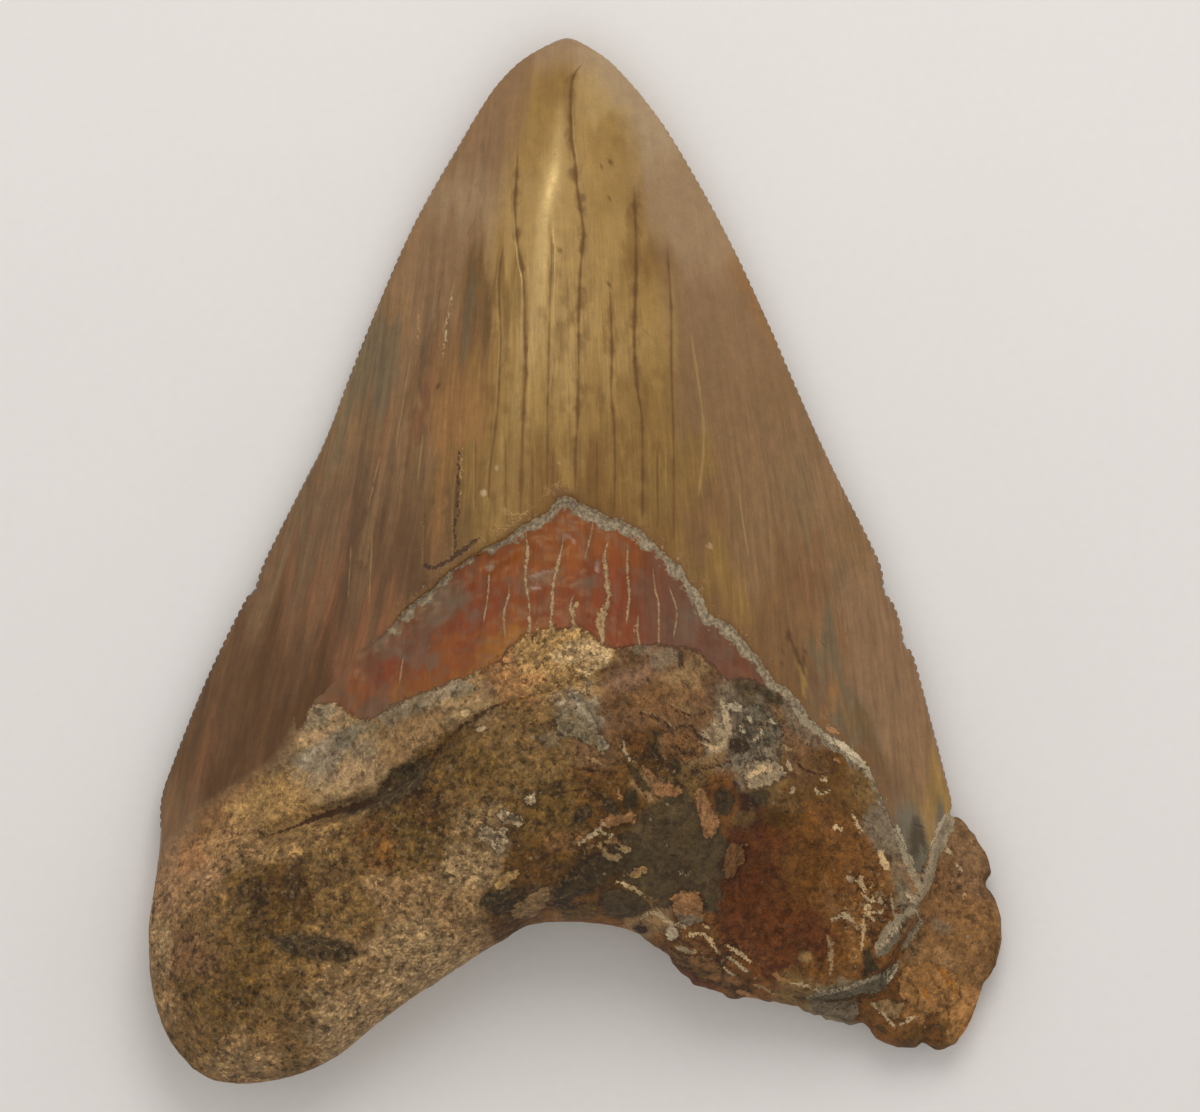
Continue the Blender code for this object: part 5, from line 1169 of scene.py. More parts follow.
def linear(color):
    """Linear values of sRGB ones from 0 to 255."""
    share = np.asarray(color, dtype=float) / 255
    return np.where(share <= SRGB_BREAK, share / SRGB_SLOPE,
                    ((share + SRGB_LIFT) / (1 + SRGB_LIFT)) ** SRGB_POWER)


def own_color(name):
    """A named colour as the fossil's own, without the light on it and the gloss over it."""
    return np.maximum(linear(COLORS[name]) - GLOSS_LIGHT, LEAST_COLOR) / MID_LIGHT


def covered(paint, share, color):
    """The paint with a colour over it, as strong as the share at each place."""
    return paint + share[:, None] * (color - paint)


def clouded(x, y, layers):
    """Sum of layers of noise."""
    return sum(share * SPOT_NOISE.layered(x + shift_x, y + shift_y, size, octaves)
               for share, shift_x, shift_y, size, octaves in layers)


def streaked(run, y, layers):
    """Sum of layers of streaks that run down the fan of the crown."""
    return sum(share * STREAK_NOISE.at(run + shift, y, width, length)
               for share, shift, width, length in layers)


def melted(values, places, x, y, sharpness=1.0, mottling=None):
    """Values given at places, each with its reach, melted into each other; `mottling` scatters them."""
    total, weights = np.zeros((len(x), values.shape[1])), np.full(len(x), LEAST_WEIGHT)
    for number, (value, (centre_x, centre_y, reach)) in enumerate(zip(values, places)):
        gap = ((x - centre_x) ** 2 + (y - centre_y) ** 2) / reach ** 2
        if mottling:
            gap = np.maximum(gap + mottling(MOTTLING_STRIDE * number), 0)
        weight = np.exp(-sharpness * np.minimum(gap, GAP_LIMIT)) / (1 + gap)
        total += weight[:, None] * value
        weights += weight
    return total / weights[:, None]


def washed(washes, x, y, sharpness, mottling=None):
    """The soft patches of a list, melted into each other."""
    colors = np.array([own_color(name) for name, *_ in washes])
    return melted(colors, [place for _, *place in washes], x, y, sharpness, mottling)


def dabbed(paint, dabs, x, y, softness):
    """The paint with uneven patches of other colours on it."""
    wander = EDGE_RAG * clouded(x, y, EDGE_LAYERS)
    for name, centre_x, centre_y, radius_x, radius_y, turn, strength in dabs:
        near = np.hypot(x - centre_x, y - centre_y) < DAB_BOUND * max(radius_x, radius_y)
        cos, sin = np.cos(np.radians(turn)), np.sin(np.radians(turn))
        off_x, off_y = x[near] - centre_x, y[near] - centre_y
        reach = np.hypot((off_x * cos + off_y * sin) / radius_x, (off_y * cos - off_x * sin) / radius_y)
        fade = smoothstep(1 - softness, 1 + DAB_TAIL * softness, reach + wander[near])
        paint[near] = covered(paint[near], strength * (1 - fade), own_color(name))
    return paint


def inside(outline, x, y):
    """Signed distance to a closed outline, positive inside it."""
    loop = np.array(outline + outline[:1], dtype=float)
    crossings = np.zeros(len(x), dtype=int)
    for (x0, y0), (x1, y1) in zip(loop, loop[1:]):
        if y0 != y1:
            crossings += ((y0 > y) != (y1 > y)) & (x < x0 + (y - y0) * (x1 - x0) / (y1 - y0))
    shares = np.linspace(0, 1, OUTLINE_STEPS)[:, None]
    course = np.vstack([a + (b - a) * shares for a, b in zip(loop, loop[1:])])
    return nearest_on(course, x, y)[0] * np.where(crossings % 2 == 1, 1.0, -1.0)


def wandering(x, y, reach):
    """The places moved about a little, so that what is drawn at them gets a ragged edge."""
    coarse, fine = WANDER_SIZES
    aside = x + WANDER_SHIFT
    return (x + reach * (WARP_NOISE.at(x, y, coarse) + WARP_NOISE.at(y, x, fine)),
            y + reach * (WARP_NOISE.at(y, aside, coarse) + WARP_NOISE.at(aside, y, fine)))


def depth_in_stroke(stroke, x, y):
    """How deep a place lies in a stroke that is thinner at both its ends."""
    half_width, course = stroke
    curve = smooth_curve(course)
    distance, nearest = nearest_on(curve, x, y)
    share = nearest / (len(curve) - 1)
    bulge = np.sqrt(np.clip(4 * share * (1 - share), 0, 1))
    return (half_width + STROKE_SPREAD) * (STROKE_END + (1 - STROKE_END) * bulge) - distance


def deepest(marks, x, y, depth_of, margin):
    """For each place, the colour of the mark that covers it most, and how deep it lies in that mark."""
    color, depth = np.tile(own_color(next(iter(marks))), (len(x), 1)), np.full(len(x), -1.0)
    for name, mark in ((name, mark) for name, group in marks.items() for mark in group):
        course = np.array(mark if depth_of is inside else mark[1])
        low, high = course.min(axis=0) - margin, course.max(axis=0) + margin
        near = np.flatnonzero((x > low[0]) & (x < high[0]) & (y > low[1]) & (y < high[1]))
        depth_here = depth_of(mark, x[near], y[near])
        near, depth_here = near[depth_here > depth[near]], depth_here[depth_here > depth[near]]
        color[near], depth[near] = own_color(name), depth_here
    return color, np.minimum(depth, 1.0)


def strewn(x, y):
    """0 to 1: how thickly the root is strewn with flecks."""
    share = np.zeros(len(x))
    for zone_x, zone_y, reach_x, reach_y, strength in FLECK_ZONES:
        away = ((x - zone_x) / reach_x) ** 2 + ((y - zone_y) / reach_y) ** 2
        share = np.maximum(share, strength * np.exp(-away ** 2))
    return share


def calmness(x, y):
    """1 where the enamel is streaked most, less on the polished right and near the tip."""
    right = smoothstep(*CALM_SIDE, lateral(x, y)) * smoothstep(*CALM_SIDE_Y, y)
    return (1 - CALM_SHARE * right) * (1 - CALM_SHARE * smoothstep(*CALM_TIP_Y, y))


def crown_paint(x, y):
    """Colour of the enamel: gold in the middle with painted sheen and a painted highlight glow, fanned
    streaks of brown on the flanks.
    """
    run, u = flow(x, y), lateral(x, y)
    calm = calmness(x, y)
    side_x = x + streaked(run, y, CROWN_SIDEWAYS)
    side_y = y + calm * streaked(run, y, CROWN_LENGTHWISE)

    def streaks(shift):
        return calm * (streaked(run + shift, y, WASH_STREAKS)
                       + streaked(run - shift, y, WASH_STREAKS_BACK))

    paint = washed(CROWN_FLANK_WASHES, side_x, side_y, FLANK_SHARPNESS, streaks)
    middle = washed(CROWN_MIDDLE_WASHES, side_x, side_y, MIDDLE_SHARPNESS)
    gold = inside(GOLD_MIDDLE, x + streaked(run, y, GOLD_WANDER), y)
    paint = covered(paint, smoothstep(-GOLD_EDGE, GOLD_EDGE, gold), middle)
    paint = dabbed(paint, CROWN_DABS, side_x, side_y, CROWN_DAB_BLUR)
    swing = TONE_SWING + sum(tone * smoothstep(low, high, side)
                             for (tone, low, high), side in ((LEFT_TONE, -u), (RIGHT_TONE, u)))
    paint *= (1 + calm * swing * streaked(run, y, CROWN_TONES))[:, None]
    blot = SPOT_NOISE.layered(STAIN_STRETCH[0] * x, STAIN_STRETCH[1] * y, STAIN_SIZE, STAIN_OCTAVES)
    stained = (smoothstep(*STAIN_EDGE, blot) * (1 - smoothstep(*STAIN_TOP_Y, y))
               * (1 - smoothstep(*STAIN_SIDE_X, np.abs(x))))
    paint = covered(paint, STAIN_STRENGTH * stained, STAIN_TONE * own_color("deep_gold"))
    return dabbed(paint, CROWN_SPOTS, x, y, CROWN_SPOT_BLUR)


def bourlette_paint(x, y):
    """Own colour of the coloured band, with its clouds and its fine ribs."""
    side_x = x + clouded(x, y, BOURLETTE_SIDEWAYS)
    side_y = y + clouded(x, y, BOURLETTE_LENGTHWISE)

    def cloud(shift, size):
        return SPOT_NOISE.layered(x + shift, y - shift, size, CLOUD_OCTAVES)

    paint = washed(BOURLETTE_WASHES, side_x, side_y, BOURLETTE_SHARPNESS,
                   lambda shift: BOURLETTE_MOTTLING * cloud(shift, BOURLETTE_MOTTLE_SIZE))
    paint = dabbed(paint, BOURLETTE_DABS, side_x, side_y, BOURLETTE_DAB_BLUR)
    for tint, shift, size, strength in BOURLETTE_CLOUDS:
        paint = covered(paint, strength * smoothstep(*CLOUD_EDGE, cloud(shift, size)), own_color(tint))
    rib = STREAK_NOISE.at(x + RIB_BEND * SPOT_NOISE.at(x, y, RIB_BEND_SIZE), y, RIB_WIDTH, RIB_LENGTH)
    return BOURLETTE_GAIN * paint * (1 + RIB_SHADE * rib)[:, None]


def root_paint(x, y):
    """Colour of the root, with the slab, painted shade in the groove, and its grain with painted shade in
    its hollows.
    """
    side_x = x + clouded(x, y, ROOT_SIDEWAYS)
    side_y = y + clouded(x, y, ROOT_LENGTHWISE) + ROOT_WIGGLE * SPOT_NOISE.at(y, x, ROOT_WIGGLE_SIZE)

    def clumps(shift):
        return (CLUMP_SHARE * SPOT_NOISE.layered(x + shift, y - shift, CLUMP_SIZE, CLUMP_OCTAVES)
                + FINE_CLUMP_SHARE * SPOT_NOISE.at(x - shift, y + shift, FINE_CLUMP_SIZE))

    paint = washed(ROOT_WASHES, side_x, side_y, ROOT_SHARPNESS, clumps)
    slab = inside(SLATE_SLAB, x + SLAB_WANDER * WARP_NOISE.at(x, y, WANDER_SIZES[0]),
                  y + SLAB_WANDER * WARP_NOISE.at(y, x, WANDER_SIZES[0]))
    paint = covered(paint, smoothstep(-SLAB_EDGE, SLAB_EDGE, slab), own_color("slate"))
    paint = dabbed(paint, ROOT_DABS, x, y, ROOT_DAB_BLUR)
    # Painted shade along the neck groove, fading towards its right end.
    to_groove, nearest = nearest_on(GROOVE, x, y)
    share = nearest / (len(GROOVE) - 1)
    shade = GROOVE_SHADE * np.exp(-(to_groove / GROOVE_SHADE_WIDTH) ** 2)
    shade *= smoothstep(0.0, GROOVE_START, share) * (1 - GROOVE_FADE * share)
    # Painted shade: the paint is lighter on the tops of the grains and darker in their hollows.
    grain = GRAIN_NOISE.layered(x, y, GRAIN_SIZE, GRAIN_OCTAVES)
    return ROOT_GAIN * paint * ((1 - shade) * (1 + GRAIN_SHADE * grain))[:, None]


def painted(x, y, on_back):
    """All the fields that the material reads, at places of one of the two faces."""
    past_neck = side_of(LABIAL_LINE if on_back else NECK, x, y)
    torn = ragged(past_neck, x, y)
    crack, vein, scratch = (line_field(lines, x, y)
                            for lines in (CROWN_CRACKS, BOURLETTE_CRACKS, CROWN_SCRATCHES))
    rough_x, rough_y = wandering(x, y, STROKE_RAG)
    shape_color, shape_depth = deepest(SHAPES, rough_x, rough_y, inside, SHAPE_MARGIN)
    stroke_color, stroke_depth = deepest(STROKES, rough_x, rough_y, depth_in_stroke, STROKE_MARGIN)
    sand = melted(np.array([[share] for share, *_ in SANDINESS]), [place for _, *place in SANDINESS], x, y)
    nothing = np.zeros(len(x))
    if on_back:
        band, seam, flecks = nothing + 1, nothing, nothing
        shape_depth = stroke_depth = nothing - 1
    else:
        torn = np.where(x > TONGUE[0][0], np.minimum(torn, -inside(TONGUE, x, y)), torn)
        band = side_of(smooth_curve(BOURLETTE_END), x, y)
        band += BAND_WANDER * SPOT_NOISE.layered(x, y, BAND_WANDER_SIZE, 2)
        seam, flecks = from_table(SEAM_WIDTH, x), strewn(x, y)
    torn, band = (np.clip(field, -FIELD_REACH, FIELD_REACH) for field in (torn, band))
    vectors = {
        "fan": (flow(x, y), y, calmness(x, y)), "edges": (torn, band, seam),
        "crack": (*crack, flecks), "vein": (*vein, nothing), "scratch": (*scratch, nothing),
        "marks": (shape_depth, stroke_depth, sand[:, 0]),
    }
    return {
        "crown_paint": crown_paint(x, y), "bourlette_paint": bourlette_paint(x, y),
        "root_paint": root_paint(x, y), "shape_paint": SHAPE_GAIN * shape_color,
        "stroke_paint": ROOT_GAIN * stroke_color,
        **{name: np.column_stack(vector) for name, vector in vectors.items()},
    }


# ---------------------------------------------------------------------------------------------
# Material
# ---------------------------------------------------------------------------------------------

# A noise is (scale per mm, detail, roughness) and sometimes a seed. A range is the stretch of a
# noise, between 0 and 1, over which something sets in. A tone is (start of the range, swing).
MOTTLE, FINE, TINY = (0.7, 4.0, 0.6), (2.4, 3.0, 0.6), (6.0, 2.0, 0.6)
FOSSIL_IOR, FOSSIL_SPECULAR = 1.5, 0.35

# Edges between the parts of the surface: how far noise moves them and half the width they melt over.
ENAMEL_RAG, ENAMEL_BLUR, ENAMEL_SOFTEST = 0.5, 0.04, 0.03
BAND_RAG, BAND_BLUR = 1.2, 0.15
SEAM_MOTTLE_RAG, SEAM_FINE_RAG, SEAM_BLUR = 3.4, 1.2, (-0.10, 0.12)
SEAM_SHOWN = (0.05, 0.2)                    # seam widths between which it sets in
SEAM_GRAIN_RANGE, SEAM_TONES = (0.42, 0.60), (0.34, 0.66, 0.84, 1.16)
SEAM_PIT, SEAM_PIT_RANGE, SEAM_PIT_SHARE = (1.7, 3.0, 0.7, 5.0), (0.60, 0.66), 0.45

STROKE_FINE_RAG, STROKE_TINY_RAG, STROKE_BLUR, STROKE_SHARE = 0.80, 0.35, (-0.03, 0.06), 0.9
STROKE_TINY_TONES, STROKE_MOTTLE_TONE = (0.35, 0.65, 0.72, 1.22), (0.35, 0.15)
STROKE_RELIEF = (0.03, 0.12, -0.06, 0.05)   # dark strokes lie low and pale ones stand up

# Roughness of the polish on each part.
ROOT_ROUGH, BOURLETTE_ROUGH, SEAM_ROUGH = (0.3, 0.7, 0.68, 0.9), 0.42, 0.8
ENAMEL_ROUGH, CRACK_ROUGH = (0.3, 0.7, 0.17, 0.25), 0.3

# Enamel: streaks and finer threads, as (stretch over the fan, detail, roughness) and tone.
STREAK, STREAK_TONE = ((1.7, 0.10, 0.0), 5.0, 0.75), (0.34, 0.20)
THREAD, THREAD_TONE = ((4.2, 0.32, 0.0), 3.0, 0.6), (0.36, 0.10)
ENAMEL_MOTTLE_TONE, ENAMEL_TINY_TONE = (0.25, 0.12), (0.30, 0.08)

# Drawn lines: noise that wavers their width, and (swing of the width, softness, gain).
CRACK_WAVER, VEIN_WAVER, WAVER_RANGE = (0.5, 1.0, 0.5), (1.8, 3.0, 0.7), (0.35, 0.65)
CRACK_LINE, SCRATCH_LINE, VEIN_LINE = (0.5, 0.12, 1.1), (0.7, 0.04, 1.5), (0.9, 0.06, 0.75)
LINE_SHOWN = 0.02                           # a line sets in up to this width
HALO_GAIN, HALO_REACH = 5.0, 0.6
CRACK_SHARE, SCRATCH_SHARE, STAIN_RANGE, STAIN_SHARE = 0.80, 0.4, (0.42, 0.58), 0.8

# Crumbled strip of enamel above the seam.
CRUMB, CRUMB_MOTTLE_RAG, CRUMB_FINE_RAG = (2.6, 2.0, 0.6), 5.0, 2.4
CRUMB_SHOWN, CRUMB_MOTTLE = (0.1, 0.3), (0.36, 0.48, 0.35, 1.0)
CRUMB_COLOR_RANGE, CRUMB_PALE_RANGE, CRUMB_SHARE = (0.44, 0.60), (0.60, 0.68), 0.85
CRACK_RELIEF, MOTTLE_RELIEF, CRUMB_RELIEF = -0.03, 0.02, 0.05

# Bourlette.
RIB, RIB_TONES = ((2.6, 0.35, 1.0), 3.0, 0.6), (0.25, 0.75, 0.80, 1.18)
CLOUD_RANGE, CLOUD_SHARE = (0.52, 0.68), 0.30
VEIN_RANGE, VEIN_SHARE, VEIN_HALO_SHARE = (0.4, 0.6), 0.95, 0.25
VEIN_RELIEF, RIB_RELIEF = 0.05, 0.08

# Root: its rock, grains and shapes.
GRAIN_SCALE, ROCK = 2.3, (0.85, 6.0, 0.72, 3.0)
SHAPE_FINE_RAG, SHAPE_ROCK_RAG, SHAPE_BLUR = 0.9, 1.4, (-0.05, 0.06)
SHAPE_RIM_SHADE = (-0.45, -0.05, 1.0, 0.62)       # painted shade around a shape, a dark rim as in a crevice, against the depth in it
TONE_RANGE = 0.35
ROCK_SWING, FINE_SWING, TINY_SWING, GRAIN_SWING = 0.50, 0.30, 0.24, 0.80
SMOOTH_SWING, SANDY_SWING, SHAPE_SWING = 0.58, 0.50, 0.9

# Flecks all over the root: colour, noise, range, share where it is smooth, and how much more there is
# where it is sandy.
ROOT_FLECKS = [
    ("dark_slate", (0.42, 4, 0.65, 11), (0.52, 0.6), 0, 0.35),
    ("sand", (1.6, 4, 0.7, 7), (0.55, 0.62), 0.04, 0.7),
    ("deep_brown", (1.2, 5, 0.75, 9), (0.55, 0.62), 0.15, 0.55),
]
AMBER_RANGE, AMBER_SHARE = (0.80, 0.95), 0.4

# Pits and pale flecks where the root is strewn with them.
ZONE_RISE = 0.25
PIT, PIT_RANGE, PIT_SHARE = (1.1, 4.0, 0.7, 15.0), (0.505, 0.545), 0.65
PALE_FLECK, PALE_RANGE, PALE_SHARE = (1.6, 5.0, 0.75, 13.0), (0.54, 0.58), 0.80
PALE_COLOR_RANGE = (0.35, 0.65)
BIT_SCALE, BIT_CHOSEN, BIT_RAG, BIT_RIM, BIT_SHARE = 0.75, (0.70, 0.76), 0.3, (0.10, 0.15), 0.6

# Fine crazing of the smooth root.
CRAZE_BEND_SCALE, CRAZE_BEND, CRAZE_SCALE, CRAZE_WIDTH = 0.8, 1.6, 0.55, (0.02, 0.05)
CRAZE_SAND, CRAZE_RANGE, CRAZE_SHARE = 0.3, (0.38, 0.5), 0.30
GRAIN_RELIEF, ROCK_RELIEF, FINE_RELIEF, TINY_RELIEF = 0.16, 0.60, 0.16, 0.06
DARK_RELIEF, SHAPE_RELIEF, PALE_RELIEF, PIT_RELIEF = -0.10, 0.06, 0.05, -0.12


def add(tree, kind, inputs=None, **settings):
    """A new shader node, with settings and with inputs that are values or other nodes' outputs."""
    node = tree.nodes.new("ShaderNode" + kind)
    for key, value in settings.items():
        setattr(node, key, value)
    for key, value in (inputs or {}).items():
        if isinstance(value, bpy.types.NodeSocket):
            tree.links.new(value, node.inputs[key])
        else:
            node.inputs[key].default_value = value
    return node


def calc(tree, operation, first, second=0.0, third=0.0):
    return add(tree, "Math", {0: first, 1: second, 2: third}, operation=operation).outputs[0]


def product(tree, first, *factors):
    for factor in factors:
        first = calc(tree, "MULTIPLY", first, factor)
    return first


def summed(tree, *terms):
    """The sum of values, each given with its weight."""
    total = 0.0
    for value, weight in terms:
        total = calc(tree, "MULTIPLY_ADD", value, weight, total)
    return total


def between(tree, value, low, high, start=0.0, end=1.0):
    """`start` below `low`, `end` above `high`, and even in between."""
    inputs = {"Value": value, "From Min": low, "From Max": high, "To Min": start, "To Max": end}
    return add(tree, "MapRange", inputs, clamp=True).outputs["Result"]


def passed(tree, share, first, second):
    """A number that passes from `first` to `second` as `share` goes from 0 to 1."""
    return calc(tree, "MULTIPLY_ADD", share, calc(tree, "SUBTRACT", second, first), first)


def frayed(tree, edge, field, reach):
    """A signed distance moved back and forth by a noise."""
    return calc(tree, "MULTIPLY_ADD", calc(tree, "SUBTRACT", field, 0.5), reach, edge)


def parts(tree, vector):
    return add(tree, "SeparateXYZ", {0: vector}).outputs


def parts_of(tree, name):
    """The three parts of a field that is painted on the mesh."""
    return parts(tree, add(tree, "Attribute", attribute_name=name).outputs["Vector"])


def paint_field(tree, name):
    return add(tree, "Attribute", attribute_name=name).outputs["Color"]


def mixed(tree, share, first, second):
    """Two colours mixed; a plain tuple is a linear colour."""
    first, second = (value if isinstance(value, bpy.types.NodeSocket) else (*value, 1.0)
                     for value in (first, second))
    return add(tree, "Mix", {0: share, 6: first, 7: second}, data_type="RGBA").outputs[2]


def tinted(tree, color, name, mask, share=1.0):
    """A colour with a named one over it where the mask is, as strong as the share."""
    return mixed(tree, calc(tree, "MULTIPLY", mask, share), color, own_color(name))


def dimmed(tree, color, factor):
    """A colour times a number."""
    return add(tree, "VectorMath", {0: color, "Scale": factor}, operation="SCALE").outputs[0]


def toned(tree, color, field, low, swing, share=1.0):
    """A colour made darker and lighter by a noise, by `swing` times `share` at the most."""
    tone = between(tree, field, low, 1 - low, -swing, swing)
    return dimmed(tree, color, calc(tree, "MULTIPLY_ADD", tone, share, 1.0))


def texture(tree, place, per_mm, detail=2.0, rough=0.5, seed=0.0):
    """Noise from 0 to 1 around 0.5."""
    inputs = {"Vector": place, "W": seed, "Scale": per_mm, "Detail": detail, "Roughness": rough}
    return add(tree, "TexNoise", inputs, noise_dimensions="4D").outputs["Fac"]


def fanned(tree, fan, stretch, detail, rough):
    """Noise drawn out along the fan of the crown."""
    place = add(tree, "VectorMath", {0: fan, 1: stretch}, operation="MULTIPLY").outputs[0]
    return texture(tree, place, 1.0, detail, rough)


def thin_line(tree, name, waver, swing, softness, gain):
    """Mask of the lines of a signed field, and a wider one; `waver` from 0 to 1 swings their width."""
    field, half_width, _ = parts_of(tree, name)
    distance = calc(tree, "ABSOLUTE", field)
    width = product(tree, half_width, between(tree, waver, *WAVER_RANGE, 1 - swing, 1 + swing))
    present = between(tree, width, 0.0, LINE_SHOWN)
    core, halo = (calc(tree, "SUBTRACT", calc(tree, "MULTIPLY", width, times), distance)
                  for times in (gain, HALO_GAIN))
    return (product(tree, between(tree, core, -softness, softness), present),
            between(tree, halo, 0.0, HALO_REACH))


def fossil_material():
    material = bpy.data.materials.new("fossil")
    material.use_nodes = True
    tree = material.node_tree
    surface = tree.nodes["Principled BSDF"]
    surface.inputs["IOR"].default_value = FOSSIL_IOR
    surface.inputs["Specular IOR Level"].default_value = FOSSIL_SPECULAR

    place = add(tree, "VectorMath", {0: add(tree, "TexCoord").outputs["Object"], "Scale": 1 / MM},
                operation="SCALE").outputs[0]
    noises = mottle, fine, tiny = [texture(tree, place, *look) for look in (MOTTLE, FINE, TINY)]
    torn, band, seam_width = parts_of(tree, "edges")
    shape_depth, stroke_depth, sand = parts_of(tree, "marks")
    torn = frayed(tree, torn, fine, ENAMEL_RAG)
    sharp = between(tree, parts(tree, place)[0], *ENAMEL_SOFT_X, ENAMEL_SOFTEST, 1.0)
    enamel = between(tree, product(tree, torn, sharp), -ENAMEL_BLUR, ENAMEL_BLUR, 1.0, 0.0)
    bourlette = between(tree, frayed(tree, band, fine, BAND_RAG), -BAND_BLUR, BAND_BLUR, 1.0, 0.0)

    enamel_color, enamel_height, crack = enamel_look(tree, place, noises, torn, seam_width)
    bourlette_color, bourlette_height = bourlette_look(tree, place, noises)
    root_color, root_height = root_look(tree, place, noises, shape_depth, sand)
    seam_end = frayed(tree, frayed(tree, torn, mottle, SEAM_MOTTLE_RAG), fine, SEAM_FINE_RAG)
    seam = product(tree, between(tree, calc(tree, "SUBTRACT", seam_end, seam_width), *SEAM_BLUR, 1.0, 0.0),
                   between(tree, seam_width, *SEAM_SHOWN))
    seam_color = mixed(tree, between(tree, fine, *SEAM_GRAIN_RANGE), own_color("blue_grey"),
                       own_color("chalk"))
    seam_color = dimmed(tree, seam_color, between(tree, tiny, *SEAM_TONES))
    seam_pit = between(tree, texture(tree, place, *SEAM_PIT), *SEAM_PIT_RANGE)
    seam_color = tinted(tree, seam_color, "earth", seam_pit, SEAM_PIT_SHARE)

    stroke_edge = frayed(tree, frayed(tree, stroke_depth, fine, STROKE_FINE_RAG), tiny, STROKE_TINY_RAG)
    stroke = product(tree, between(tree, stroke_edge, *STROKE_BLUR), STROKE_SHARE)
    stroke_color = dimmed(tree, paint_field(tree, "stroke_paint"), between(tree, tiny, *STROKE_TINY_TONES))
    stroke_color = toned(tree, stroke_color, mottle, *STROKE_MOTTLE_TONE)
    color = root_color
    for share, over in ((bourlette, bourlette_color), (seam, seam_color), (enamel, enamel_color),
                        (stroke, stroke_color)):
        color = mixed(tree, share, color, over)
    tree.links.new(color, surface.inputs["Base Color"])

    height = passed(tree, bourlette, root_height, bourlette_height)
    height = passed(tree, enamel, height, enamel_height)
    stroke_rise = between(tree, parts(tree, stroke_color)[1], *STROKE_RELIEF)
    height = calc(tree, "MULTIPLY_ADD", stroke, stroke_rise, height)
    bump = add(tree, "Bump", {"Height": height, "Distance": MM, "Strength": 1.0})
    tree.links.new(bump.outputs[0], surface.inputs["Normal"])

    rough = passed(tree, bourlette, between(tree, fine, *ROOT_ROUGH), BOURLETTE_ROUGH)
    rough = calc(tree, "MAXIMUM", rough, product(tree, seam, SEAM_ROUGH))
    enamel_rough = calc(tree, "MULTIPLY_ADD", crack, CRACK_ROUGH, between(tree, mottle, *ENAMEL_ROUGH))
    tree.links.new(passed(tree, enamel, rough, enamel_rough), surface.inputs["Roughness"])
    return material


def enamel_look(tree, place, noises, torn, seam_width):
    """Polished enamel: fanned streaks, brown cracks, pale scratches and a crumbled end."""
    mottle, fine, tiny = noises
    fan = add(tree, "Attribute", attribute_name="fan").outputs["Vector"]
    calm = parts(tree, fan)[2]
    streak, thread = (fanned(tree, fan, *look) for look in (STREAK, THREAD))
    color = paint_field(tree, "crown_paint")
    for field, tone, share in ((streak, STREAK_TONE, calm), (thread, THREAD_TONE, calm),
                               (mottle, ENAMEL_MOTTLE_TONE, 1.0), (tiny, ENAMEL_TINY_TONE, 1.0)):
        color = toned(tree, color, field, *tone, share)

    waver = texture(tree, place, *CRACK_WAVER)
    crack, halo = thin_line(tree, "crack", waver, *CRACK_LINE)
    color = tinted(tree, color, "olive_brown", halo, between(tree, mottle, *STAIN_RANGE, 0.0, STAIN_SHARE))
    color = tinted(tree, color, "crack_brown", crack, CRACK_SHARE)
    scratch = thin_line(tree, "scratch", waver, *SCRATCH_LINE)[0]
    color = tinted(tree, color, "straw", scratch, SCRATCH_SHARE)

    crumbs = texture(tree, place, *CRUMB)
    crumb_edge = frayed(tree, frayed(tree, torn, mottle, CRUMB_MOTTLE_RAG), fine, CRUMB_FINE_RAG)
    crumbled = product(tree, between(tree, crumb_edge, -CRUMB_WIDTH, 0.0),
                       between(tree, seam_width, *CRUMB_SHOWN), between(tree, mottle, *CRUMB_MOTTLE))
    crumb_color = mixed(tree, between(tree, fine, *CRUMB_COLOR_RANGE), own_color("rust_tan"),
                        own_color("deep_gold"))
    crumb_color = tinted(tree, crumb_color, "bone", between(tree, crumbs, *CRUMB_PALE_RANGE))
    color = mixed(tree, product(tree, crumbled, CRUMB_SHARE), color, crumb_color)
    height = summed(tree, (crack, CRACK_RELIEF), (mottle, MOTTLE_RELIEF),
                    (product(tree, crumbled, crumbs), CRUMB_RELIEF))
    return color, height, crack


def bourlette_look(tree, place, noises):
    """The coloured band under the enamel: fine ribs down the tooth and cracks filled with cream."""
    mottle, fine, _ = noises
    rib = fanned(tree, add(tree, "Attribute", attribute_name="fan").outputs["Vector"], *RIB)
    color = dimmed(tree, paint_field(tree, "bourlette_paint"), between(tree, rib, *RIB_TONES))
    color = tinted(tree, color, "violet_grey", between(tree, mottle, *CLOUD_RANGE), CLOUD_SHARE)
    vein, halo = thin_line(tree, "vein", texture(tree, place, *VEIN_WAVER), *VEIN_LINE)
    vein_color = mixed(tree, between(tree, fine, *VEIN_RANGE), own_color("sand"), own_color("cream"))
    color = tinted(tree, color, "maroon", halo, VEIN_HALO_SHARE)
    color = mixed(tree, product(tree, vein, VEIN_SHARE), color, vein_color)
    return color, summed(tree, (rib, RIB_RELIEF), (vein, VEIN_RELIEF))


